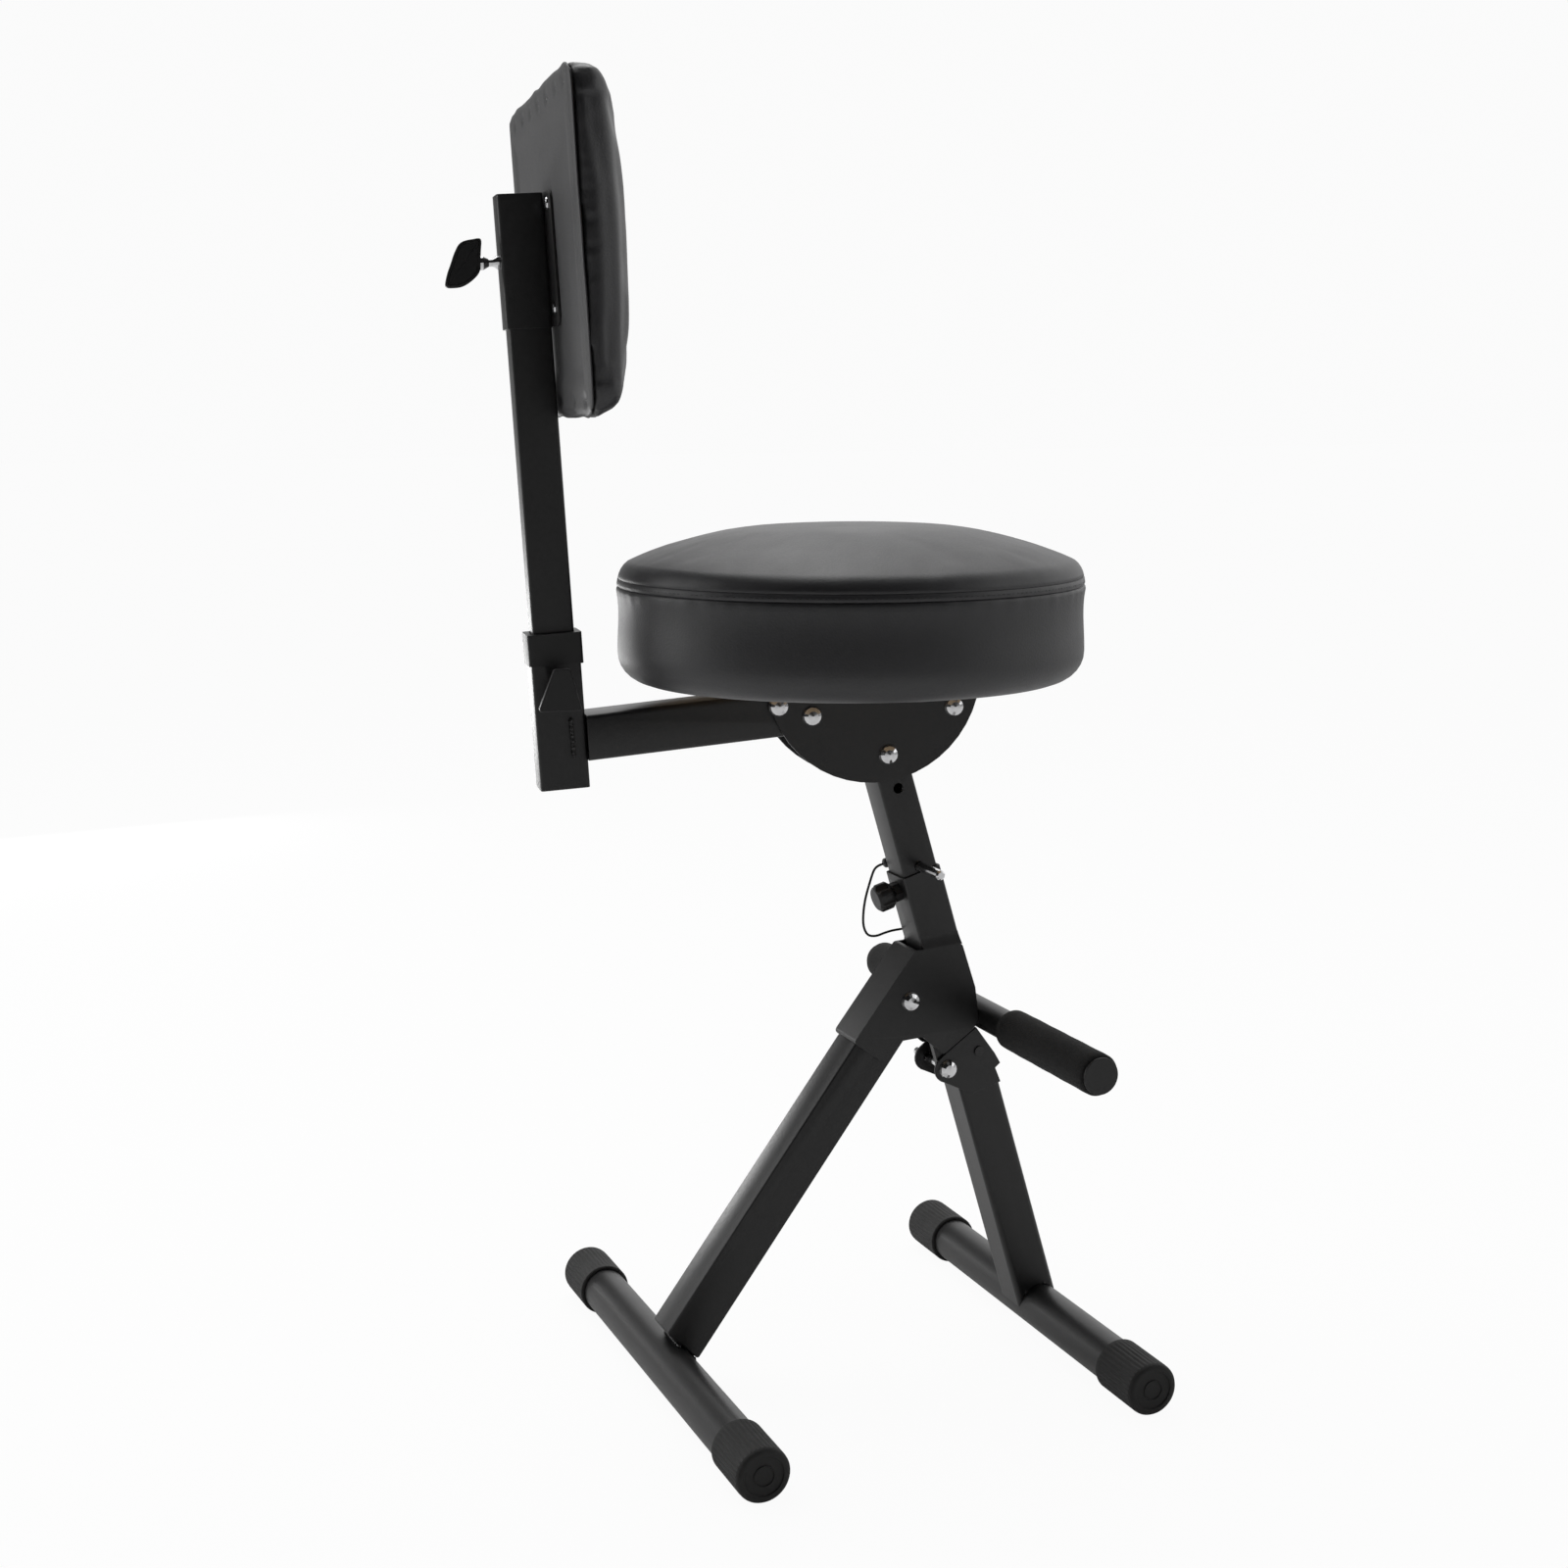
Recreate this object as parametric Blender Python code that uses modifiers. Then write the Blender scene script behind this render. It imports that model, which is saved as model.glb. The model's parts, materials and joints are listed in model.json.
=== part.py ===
"""Guitar stool with a round padded seat, a sliding backrest and a folding frame.

Metres, +Z up, front at -Y. The side view is drawn in the Y-Z plane, with Y
measured from the seat's centre, and shift_y then puts the object's footprint
over the origin.
"""
import bmesh
import bpy
from math import acos, cos, hypot, pi, radians, sin, tan
from mathutils import Matrix, Vector

MM = 0.001

# General fits
fit = 0.3 * MM                  # gap between pieces that touch
overrun = 5 * MM                # how far a cutter passes the piece it cuts
weld_distance = 0.01 * MM
corner_steps = 3                # segments of a rounded tube corner
round_steps = 32                # sides of a large round piece
small_steps = 16                # sides of a rivet, stud or pin
sharp_turn = radians(40)        # edges that turn more stay sharp to the eye
bevel_turn = radians(50)
near_across = cos(radians(10))

# Foot bars and their caps
bar_radius = 16.5 * MM
bar_wall = 1.5 * MM
cap_radius = 19.2 * MM
cap_length = 47 * MM
cap_end = 5 * MM                # thickness of a cap's closed end
cap_flat = 0.5 * MM             # flat that each cap stands on
cap_edge = 2.5 * MM
rear_bar_y = 147 * MM
rear_bar_half = 190.4 * MM      # half length over the caps
front_bar_y = -150.5 * MM
front_bar_half = 179 * MM

# Square tubes of the base and their line in the side view
tube_width = 30.8 * MM          # across the stool, legs and sleeve
leg_depth = 32 * MM
leg_wall = 1.5 * MM
tube_corner = 3 * MM
column_tilt = radians(16.34)    # from the vertical, top towards the rear
column_y = -9.3 * MM            # a point on the column's axis
column_z = 500 * MM
rear_leg_tilt = radians(36.72)
rear_pivot_y = -38.9 * MM
rear_pivot_z = 271 * MM
rear_leg_offset = 2 * MM        # pivot below the leg's centre line
front_hinge_y = -69.5 * MM
front_hinge_z = 216.3 * MM
front_leg_top_z = 226 * MM
rear_foot_cut = radians(45)     # slope of the rear leg's cut end

# Column, its sleeve and the height lock
column_size = 27.4 * MM
column_wall = 1.5 * MM
column_corner = 2 * MM
column_head = 22 * MM           # column above its pivot
column_foot_z = 262 * MM
sleeve_wall = 1.4 * MM
sleeve_mouth_z = 366 * MM
sleeve_foot_z = 254 * MM
pin_radius = 3.6 * MM
pin_reach = 35 * MM             # tip beyond the column's near face
pin_tip = 1.2 * MM
hole_pitch = 61 * MM
holes_above = 1                 # empty holes above and below the pin
holes_below = 1
handle_radius = 3.6 * MM
handle_length = 26 * MM
handle_gap = 4 * MM             # handle from the column's far face
clamp_drop = 12 * MM            # knob below the sleeve's mouth, along the sleeve
clamp_head = 13 * MM
clamp_head_radius = 10.5 * MM
clamp_lobes = 6
clamp_edge_share = 0.2
clamp_groove_share = 1.3        # grooves' centres, of the knob's radius
clamp_stud_radius = 3 * MM
nut_thickness = 5 * MM
nut_radius = 7.5 * MM
nut_sides = 6

# Lanyard from the pin's handle round the rear to the sleeve
cord_radius = 0.9 * MM
anchor_depth = 3 * MM
anchor_radius = 3.2 * MM
anchor_drop = 53 * MM           # anchor below the sleeve's mouth
cord_tail = (4 * MM, -1.2 * MM)             # first step out of the handle, rearward and up
cord_bend = (4.5 * MM, -1.5 * MM, 0.4 * MM)     # last bend before the anchor, seen from it
cord_entry = 1.8 * MM
cord_loop = ((24 * MM, -28.4 * MM, 361 * MM), (25.6 * MM, -25.6 * MM, 351 * MM),
             (26.8 * MM, -23 * MM, 340 * MM), (27.4 * MM, -21.6 * MM, 329 * MM),
             (27.8 * MM, -22 * MM, 319 * MM), (28 * MM, -25.5 * MM, 312.2 * MM),
             (28 * MM, -32 * MM, 310.6 * MM), (27.4 * MM, -39.5 * MM, 312.5 * MM),
             (25.7 * MM, -46.8 * MM, 314.2 * MM))

# Hub, a pressed channel
hub_plate = 2 * MM
hub_web_top = (-42 * MM, 308 * MM)
hub_web_foot = (6.5 * MM, 245 * MM)
hub_crotch = (-30.5 * MM, 242 * MM)
hub_rear_tip = (-17.6 * MM, 227.1 * MM)
hub_under = (-48.9 * MM, 243 * MM)
hub_nose = (-65.8 * MM, 227.6 * MM)
hub_chin = (-90.7 * MM, 244.9 * MM)
hub_front_low = (-94.6 * MM, 251.2 * MM)
hub_front_mid = (-91.6 * MM, 276.1 * MM)
hub_front_top = (-80.4 * MM, 310.5 * MM)
hub_corner = 3 * MM
lug_radius = 5.6 * MM
lug_height = 30 * MM            # lug above the hinge, up between the hub's plates
lug_thickness = 6 * MM

# Rivets and axles
rivet_radius = 3 * MM
dome_radius = 7.2 * MM
dome_height = 3.6 * MM
axle_overhang = 16 * MM         # front hinge axle beyond its far ear
axle_nut_depth = 6 * MM
latch_radius = 2.7 * MM
latch_head = 1 * MM
latch_y = -94.9 * MM
latch_z = 227.2 * MM

# Front-leg bracket outline, ears round the hinge
ear_radius = 10.5 * MM
ear_nose_turn = radians(55)
ear_fall_turn = radians(-75)
bracket_gap = 0.5 * MM          # bracket below the hub's slanting edge
bracket_lead = 2 * MM           # top corner beyond the hub's chin
bracket_tail = 6 * MM           # edge's end short of the hub's nose
bracket_front = (-108.4 * MM, 224 * MM)
bracket_tab = (-113 * MM, 216 * MM)
bracket_tab_foot = (-108.9 * MM, 212.7 * MM)
bracket_foot_z = 197 * MM

# Footrest
footrest_y = -105.3 * MM
footrest_z = 251.2 * MM
footrest_radius = 11 * MM
footrest_wall = 1.5 * MM
footrest_half = 176.6 * MM
foam_radius = 15 * MM
foam_start = 50 * MM
foam_edge = 2 * MM
plug_depth = 12 * MM
plug_flange = 2 * MM

# Seat, about its own centre
seat_radius = 165 * MM
seat_floor_z = 508.5 * MM       # lower rim of the pad
seat_seam_z = 576 * MM
seat_rim_z = 584.5 * MM
seat_crown_z = 617.5 * MM
seat_rim_inset = 6 * MM         # rim of the crown inside the pad's side
seat_crown_power = 6            # flat in the middle, falling towards the rim
seat_shoulder_share = 0.45      # how far the shoulder under the rim is down to the seam
seat_under_edge = 20 * MM
seat_draw = 1.6 * MM            # how far the side is drawn in under the seam
seat_welt = 0.9 * MM
board_inset = 19 * MM           # board's edge inside the pad's side
board_thickness = 12 * MM
board_z = 513.3 * MM
seat_steps = 48

# Bracket under the seat
pivot_z = 454.3 * MM
seat_twist = radians(-8.5)      # the seat unit sits turned on the column
disc_radius = 78.5 * MM
disc_y = -12.5 * MM
plate_thickness = 2.5 * MM
plate_gap = 34.4 * MM           # between the two plates, with room for the turned column
flange_width = 24 * MM
flange_screw_share = 0.6        # screws across the flange, from its plate
arm_bolt_front = (33.2 * MM, 484 * MM)
arm_bolt_rear = (57.2 * MM, 491.7 * MM)
front_bolt = (-71.3 * MM, 486.9 * MM)
bolt_radius = 3.5 * MM
spacer_radius = 6.5 * MM
stop_thickness = 7 * MM
stop_low_z = 470 * MM
stop_high_z = 497 * MM
stop_gap = 2.3 * MM
screw_radius = 2.2 * MM
screw_head_radius = 4.2 * MM
screw_head_height = 1.8 * MM
board_screw_length = 9 * MM
flange_screw_y = (-62 * MM, 38 * MM)

# Arm, post socket and post
arm_depth = 32 * MM
arm_wall = 1.5 * MM
arm_front_y = 17 * MM
arm_fall = radians(4.7)
arm_end_z = 474.2 * MM          # arm's centre line at the socket
post_lean = radians(3)
post_width = 21 * MM
post_depth = 28.5 * MM
post_wall = 1.5 * MM
post_behind_seat = 69.6 * MM    # rear face of the post, at post_rear_z, behind the pad's side
post_rear_z = 695.7 * MM
post_rise = 11 * MM             # foot of the post above the socket's foot
post_head_z = 829 * MM
socket_wall = 2.5 * MM
socket_below_arm = 36.2 * MM    # socket's foot below the arm's centre line
socket_above_arm = 69.3 * MM    # socket's mouth above the arm's centre line
collar_wall = 1.3 * MM
collar_skirt = 19 * MM          # collar below and above the socket's mouth
collar_lip = 2.5 * MM
knob_above_arm = 34.8 * MM      # knob's axis above the arm's centre line
knob_boss_radius = 7.5 * MM
knob_boss_length = 21.4 * MM
knob_stud_radius = 3 * MM
wing_thickness = 5 * MM
wing_top_half = 5.6 * MM
wing_low_half = 13 * MM
wing_above = 15 * MM
wing_below = 14 * MM
wing_skew = 4 * MM
wing_corner = 2 * MM

# Backrest carriage and its knob
carriage_wall = 1.6 * MM
carriage_low_z = 749.5 * MM
carriage_high_z = 836.5 * MM
carriage_corner = 2.5 * MM
mount_plate_half = 39.4 * MM
mount_plate_thickness = 1.5 * MM
mount_plate_corner = 8 * MM
plate_screw_x = 27 * MM
plate_screw_z = (761.5 * MM, 828 * MM)
carriage_knob_z = 793.5 * MM
stud_large = 4.6 * MM
stud_waist = 2.6 * MM
stud_length = 13 * MM
stud_shares = (0.12, 0.35, 0.55, 0.85)    # where its flare ends, waist starts and ends, flare starts
handle_depth = 25.4 * MM        # wing head, from the stud's end to its tip
handle_height = 31.5 * MM
handle_thickness = 6 * MM
handle_above = 15.4 * MM        # of its height above the stud's axis
wing_head_shares = ((0, 1), (0.58, 0.93), (1, 0.05), (0.94, 0), (0.45, 0), (0.1, 0.22))

# Backrest pad and its board
pad_half_width = 148 * MM
pad_low_z = 688 * MM
pad_high_z = 905 * MM
pad_thickness = 29 * MM
pad_crown = 4.5 * MM
pad_draw = 2.5 * MM
pad_round_low = 5 * MM
pad_thin_share = 0.14           # how much thinner its top and bottom are
pad_crease_share = 0.7
pad_columns = 10
pad_rows = 7
pad_layers = 2
back_board_margin = 12 * MM
back_board_thickness = 9.5 * MM
back_board_recess = 0.5 * MM

# Worked out from the sizes above
bar_z = cap_radius - cap_flat
seat_rim_radius = seat_radius - seat_rim_inset
board_radius = seat_radius - board_inset
post_rear_y = seat_radius + post_behind_seat
socket_foot_z = arm_end_z - socket_below_arm
socket_mouth_z = arm_end_z + socket_above_arm
socket_knob_z = arm_end_z + knob_above_arm
post_foot_z = socket_foot_z + post_rise
collar_low_z = socket_mouth_z - collar_skirt
collar_high_z = socket_mouth_z + collar_lip
column_up = Vector((0, sin(column_tilt), cos(column_tilt)))
column_rear = Vector((0, cos(column_tilt), -sin(column_tilt)))
post_up = Vector((0, sin(post_lean), cos(post_lean)))
post_rear = Vector((0, cos(post_lean), -sin(post_lean)))
across = Vector((1, 0, 0))


def on_column(z, behind=0):
    """A point on the column's axis at height z, moved behind it by a distance."""
    return Vector((0, column_y + (z - column_z) * tan(column_tilt), z)) + column_rear * behind


def on_post(z, ahead=0):
    """A point on the post's rear face at height z, moved ahead of it."""
    return Vector((0, post_rear_y + (z - post_rear_z) * tan(post_lean), z)) - post_rear * ahead


pivot = on_column(pivot_z)
rear_pivot = Vector((0, rear_pivot_y, rear_pivot_z))
front_hinge = Vector((0, front_hinge_y, front_hinge_z))
rear_leg_down = Vector((0, sin(rear_leg_tilt), -cos(rear_leg_tilt)))
rear_leg_back = Vector((0, cos(rear_leg_tilt), sin(rear_leg_tilt)))
mouth = on_column(sleeve_mouth_z)
pin_centre = mouth + column_up * (pin_radius + fit)
sleeve_inner = column_size + 2 * fit
sleeve_depth = sleeve_inner + 2 * sleeve_wall
clamp_point = mouth - column_up * clamp_drop
carriage_rear = fit + carriage_wall
knob_mid = on_post(carriage_knob_z, -carriage_rear)
twist_about = Matrix.Translation(pivot) @ Matrix.Rotation(seat_twist, 4, "Z") @ Matrix.Translation(-pivot)
handle_start = knob_mid + post_rear * (stud_length + fit) - post_rear * (stud_large - stud_waist)
handle_tip = handle_start + Vector((0, handle_depth, 0))
front_reach = front_bar_y - cap_radius
rear_reach = (twist_about @ handle_tip).y
shift_y = -(front_reach + rear_reach) / 2

for old in list(bpy.data.objects):
    bpy.data.objects.remove(old, do_unlink=True)

scene_root = bpy.context.scene.collection
stool = bpy.data.collections.new("guitar_stool")
cutters = bpy.data.collections.new("cutters")
scene_root.children.link(stool)
scene_root.children.link(cutters)


def paint(name, colour, roughness, metallic=0.0):
    """A Principled material of one colour."""
    material = bpy.data.materials.new(name)
    material.use_nodes = True
    shader = material.node_tree.nodes["Principled BSDF"]
    shader.inputs["Base Color"].default_value = (*colour, 1)
    shader.inputs["Roughness"].default_value = roughness
    shader.inputs["Metallic"].default_value = metallic
    return material


black_paint = paint("black_powder_coat", (0.012, 0.012, 0.013), 0.42)
black_vinyl = paint("black_vinyl", (0.016, 0.016, 0.019), 0.45)
black_rubber = paint("black_rubber", (0.014, 0.014, 0.014), 0.75)
black_foam = paint("black_foam", (0.012, 0.012, 0.012), 0.95)
black_plastic = paint("black_plastic", (0.011, 0.011, 0.012), 0.5)
bright_chrome = paint("bright_chrome", (0.72, 0.72, 0.74), 0.12, 1.0)
zinc_steel = paint("zinc_steel", (0.5, 0.5, 0.52), 0.35, 1.0)
plywood = paint("plywood", (0.36, 0.25, 0.14), 0.7)
cord_black = paint("black_cord", (0.01, 0.01, 0.01), 0.6)


class Body:
    """A moving group: an empty on its joint's axis that carries its pieces."""

    def __init__(self, name, point, parent=None, turned=False):
        self.point = Vector(point)
        self.empty = bpy.data.objects.new(name + "_axis", None)
        scene_root.objects.link(self.empty)
        place = Matrix.Translation(self.point)
        if parent is None:
            place = Matrix.Translation(Vector((0, shift_y, 0))) @ place
            self.empty.matrix_basis = place
            return
        back = Matrix.Translation(-parent.point)
        if turned:
            place = twist_about @ place
        self.empty.parent = parent.empty
        self.empty.matrix_basis = back @ place

    def carry(self, piece):
        piece.parent = self.empty
        piece.matrix_parent_inverse = Matrix.Translation(-self.point)
        return piece


origin = Vector((0, 0, 0))
base = Body("base", origin)
rear_leg_body = Body("rear_leg", rear_pivot, base)
front_leg_body = Body("front_leg", front_hinge, base)
column_body = Body("column", mouth, base)
pin_body = Body("height_pin", pin_centre, column_body)
clamp_body = Body("clamp_knob", clamp_point, base)
seat_body = Body("seat_unit", pivot, column_body, turned=True)
socket_axis = on_post(socket_knob_z, post_depth / 2)
socket_knob_body = Body("socket_knob", socket_axis, seat_body)
post_body = Body("post", on_post(post_foot_z), seat_body)
carriage_body = Body("carriage", on_post(carriage_low_z), post_body)
carriage_knob_body = Body("carriage_knob", knob_mid, carriage_body)


def keep(mesh, name, body, material, place=None, group=stool):
    """Make an object of a mesh, give it its material and hand it to its body."""
    piece = bpy.data.objects.new(name, mesh)
    group.objects.link(piece)
    piece.matrix_basis = place or Matrix.Identity(4)
    if material:
        mesh.materials.clear()
        mesh.materials.append(material)
    body.carry(piece)
    if group is cutters:
        piece.hide_render = True
        piece.display_type = "WIRE"
    return piece


def mesh_of(curve_data, place):
    """The closed mesh of a filled curve, with its loose caps welded on."""
    guide = bpy.data.objects.new("guide", curve_data)
    scene_root.objects.link(guide)
    guide.matrix_basis = place
    bpy.context.view_layer.update()
    evaluated = guide.evaluated_get(bpy.context.evaluated_depsgraph_get())
    mesh = bpy.data.meshes.new_from_object(evaluated)
    shape = bmesh.new()
    shape.from_mesh(mesh)
    bmesh.ops.remove_doubles(shape, verts=shape.verts, dist=weld_distance)
    bmesh.ops.recalc_face_normals(shape, faces=shape.faces)
    shape.to_mesh(mesh)
    shape.free()
    bpy.data.objects.remove(guide, do_unlink=True)
    return mesh


def flat_curve(loops, half):
    """A filled 2D curve of closed loops, extruded by half each way."""
    data = bpy.data.curves.new("outline", "CURVE")
    data.dimensions = "2D"
    data.fill_mode = "BOTH"
    data.extrude = half
    for loop in loops:
        spline = data.splines.new("POLY")
        spline.points.add(len(loop) - 1)
        for point, (u, v) in zip(spline.points, loop):
            point.co = (u, v, 0, 1)
        spline.use_cyclic_u = True
    return data


side_axes = Matrix(((0, 0, 1, 0), (1, 0, 0, 0), (0, 1, 0, 0), (0, 0, 0, 1)))


def side_solid(name, loops, x_low, x_high, body, material, group=stool):
    """A Y-Z outline, drawn as seen from the side, between two planes across X."""
    data = flat_curve(loops, (x_high - x_low) / 2)
    mesh = mesh_of(data, Matrix.Identity(4))
    place = Matrix.Translation(Vector(((x_low + x_high) / 2, 0, 0))) @ side_axes
    return keep(mesh, name, body, material, place, group)


def rounded(points, radius, steps=corner_steps):
    """A closed outline with each corner turned into an arc."""
    result = []
    count = len(points)
    for index, corner in enumerate(points):
        here = Vector(corner)
        before = Vector(points[index - 1]) - here
        after = Vector(points[(index + 1) % count]) - here
        turn = before.angle(after)
        reach = radius / tan(turn / 2)
        reach = min(reach, before.length / 2, after.length / 2)
        arc_radius = reach * tan(turn / 2)
        start = here + before.normalized() * reach
        end = here + after.normalized() * reach
        middle = here + (before.normalized() + after.normalized()).normalized() * (
            hypot(reach, arc_radius))
        first = start - middle
        sweep = first.angle_signed(end - middle)
        for step in range(steps + 1):
            turned = Matrix.Rotation(-sweep * step / steps, 2) @ first
            result.append(tuple(middle + turned))
    return result


def box_outline(width, depth, corner):
    """A rounded rectangle about the origin."""
    half_w = width / 2
    half_d = depth / 2
    points = [(-half_w, -half_d), (half_w, -half_d), (half_w, half_d), (-half_w, half_d)]
    if corner == 0:
        return points
    return rounded(points, corner)


def along(start, end):
    """A frame at the middle of a line: local Z along it, local X across the stool."""
    axis = (end - start).normalized()
    side = axis.cross(across)
    middle = (start + end) / 2
    return Matrix.Translation(middle) @ Matrix((across, side, axis)).transposed().to_4x4()


def square_tube(name, width, depth, wall, corner, start, end, body, material, group=stool):
    """A rectangular tube, or a bar where the wall is zero, between two points."""
    half = (end - start).length / 2
    place = along(start, end)
    mesh = mesh_of(flat_curve([box_outline(width, depth, corner)], half), Matrix.Identity(4))
    tube = keep(mesh, name, body, material, place, group)
    if wall:
        inside = box_outline(width - 2 * wall, depth - 2 * wall, max(corner - wall, 0))
        mesh = mesh_of(flat_curve([inside], half + overrun), Matrix.Identity(4))
        cut(tube, keep(mesh, name + "_bore", body, None, place, cutters))
    return tube


def turn_mesh(profile, steps):
    """A turned solid about local Z from (radius, height) points, top to bottom."""
    mesh = bpy.data.meshes.new("profile")
    shape = bmesh.new()
    verts = [shape.verts.new((radius, 0, height)) for radius, height in profile]
    for first, second in zip(verts, verts[1:]):
        shape.edges.new((first, second))
    if profile[0][0] > 0:
        shape.edges.new((verts[-1], verts[0]))
    shape.to_mesh(mesh)
    shape.free()
    guide = bpy.data.objects.new("guide", mesh)
    scene_root.objects.link(guide)
    screw = guide.modifiers.new("turn", "SCREW")
    screw.steps = steps
    screw.render_steps = steps
    screw.use_merge_vertices = True
    screw.merge_threshold = weld_distance
    bpy.context.view_layer.update()
    evaluated = guide.evaluated_get(bpy.context.evaluated_depsgraph_get())
    turned = bpy.data.meshes.new_from_object(evaluated)
    bpy.data.objects.remove(guide, do_unlink=True)
    shape = bmesh.new()
    shape.from_mesh(turned)
    bmesh.ops.recalc_face_normals(shape, faces=shape.faces)
    shape.to_mesh(turned)
    shape.free()
    turned.shade_smooth()
    turned.set_sharp_from_angle(angle=sharp_turn)
    return turned


def turned_piece(name, profile, start, direction, body, material, steps=small_steps, group=stool):
    """A turned solid whose profile heights run from start along direction."""
    axis = direction.normalized()
    side = across if abs(axis.x) < near_across else Vector((0, 0, 1))
    other = axis.cross(side)
    place = Matrix.Translation(start) @ Matrix((side, other, axis)).transposed().to_4x4()
    return keep(turn_mesh(profile, steps), name, body, material, place, group)


def rod_profile(radius, length):
    return [(0, length), (radius, length), (radius, 0), (0, 0)]


def ring_profile(outer, inner, length):
    return [(outer, length), (outer, 0), (inner, 0), (inner, length)]


def build_nut(name, bore, length, start, direction, body):
    """A hexagon nut whose flats clear the stud."""
    profile = ring_profile(nut_radius, (bore + fit) / cos(pi / nut_sides), length)
    return turned_piece(name, profile, start, direction, body, zinc_steel, nut_sides)


def cut(piece, *tools):
    for tool in tools:
        modifier = piece.modifiers.new("cut", "BOOLEAN")
        modifier.operation = "DIFFERENCE"
        modifier.solver = "EXACT"
        modifier.object = tool
    return piece


def hole(name, radius, centre, direction, half, body, steps=small_steps):
    """A round cutter through a point."""
    start = centre - direction.normalized() * half
    return turned_piece(name, rod_profile(radius, 2 * half), start, direction, body, None,
                        steps, cutters)


def dome(radius, height, base_height, steps=3):
    """Profile points of a domed head, from its crown down to its rim."""
    points = [(0, base_height + height)]
    for step in range(1, steps + 1):
        turn = pi / 2 * step / steps
        points.append((radius * sin(turn), base_height + height * cos(turn)))
    return points


def rivet(name, centre, half, body, material=bright_chrome, shaft=rivet_radius):
    """A rivet across the stool with a domed head outside each plate."""
    top = dome(dome_radius, dome_height, half)
    profile = top + [(shaft, half), (shaft, -half)]
    profile += [(radius, -height) for radius, height in reversed(top)]
    return turned_piece(name, profile, centre, across, body, material)


def build_bar(side, y, half, body):
    """A foot bar, its two caps and the flats that the caps stand on."""
    tube_half = half - cap_end - fit
    middle = Vector((0, y, bar_z))
    start = middle - across * tube_half
    bar = turned_piece(side + "_foot_bar", ring_profile(bar_radius, bar_radius - bar_wall, 2 * tube_half),
                       start, across, body, black_paint, round_steps)
    for name, sign in (("left", -1), ("right", 1)):
        outward = across * sign
        mouth_point = middle + outward * (half - cap_length)
        bore = bar_radius + fit
        depth = cap_length - cap_end
        profile = [
            (0, cap_length),
            (cap_radius - cap_edge, cap_length),
            (cap_radius, cap_length - cap_edge),
            (cap_radius, 0),
            (bore, 0),
            (bore, depth),
            (0, depth),
        ]
        label = side + "_foot_cap_" + name
        cap = turned_piece(label, profile, mouth_point, outward, body, black_rubber, round_steps)
        low = [(y - 2 * cap_radius, -cap_radius), (y + 2 * cap_radius, -cap_radius),
               (y + 2 * cap_radius, 0), (y - 2 * cap_radius, 0)]
        floor = side_solid(label + "_floor", [low], sign * half - cap_length - overrun,
                           sign * half + cap_length + overrun, body, None, cutters)
        cut(cap, floor)
    return bar


def build_rear_leg():
    """Rear leg: a round end at its pivot and a slanting cut that rests on the bar."""
    body = rear_leg_body
    centre = rear_pivot + rear_leg_back * rear_leg_offset
    half = leg_depth / 2
    bar_centre = Vector((0, rear_bar_y, bar_z))
    cut_along = Vector((0, cos(rear_foot_cut), sin(rear_foot_cut)))
    cut_normal = Vector((0, -sin(rear_foot_cut), cos(rear_foot_cut)))
    touch = bar_centre + cut_normal * (bar_radius + fit)

    def foot_at(offset):
        start = centre + rear_leg_back * offset
        distance = (touch - start).dot(cut_normal) / rear_leg_down.dot(cut_normal)
        return start + rear_leg_down * distance

    rear_foot = foot_at(half)
    front_foot = foot_at(-half)
    outline = [(rear_foot.y, rear_foot.z)]
    reach = half - rear_leg_offset
    top_rear = centre + rear_leg_back * half
    outline.append((top_rear.y, top_rear.z))
    steps = 2 * corner_steps
    for step in range(1, steps):
        turn = pi * step / steps
        point = centre + rear_leg_back * (half * cos(turn)) - rear_leg_down * (reach * sin(turn))
        outline.append((point.y, point.z))
    top_front = centre - rear_leg_back * half
    outline.append((top_front.y, top_front.z))
    outline.append((front_foot.y, front_foot.z))
    leg = side_solid("rear_leg", [outline], -tube_width / 2, tube_width / 2, body, black_paint)
    edge = leg.modifiers.new("corners", "BEVEL")
    edge.width = tube_corner / 2
    edge.segments = 2
    edge.limit_method = "ANGLE"
    edge.angle_limit = bevel_turn
    hollow_end = foot_at(0) + rear_leg_down * leg_depth
    hollow = square_tube("rear_leg_hollow", tube_width - 2 * leg_wall, leg_depth - 2 * leg_wall, 0,
                         tube_corner - leg_wall, centre, hollow_end, body, None, cutters)
    pivot_hole = hole("rear_pivot_hole", rivet_radius + fit, rear_pivot, across, tube_width, body)
    cut(leg, hollow, pivot_hole)
    build_bar("rear", rear_bar_y, rear_bar_half, body)


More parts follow.
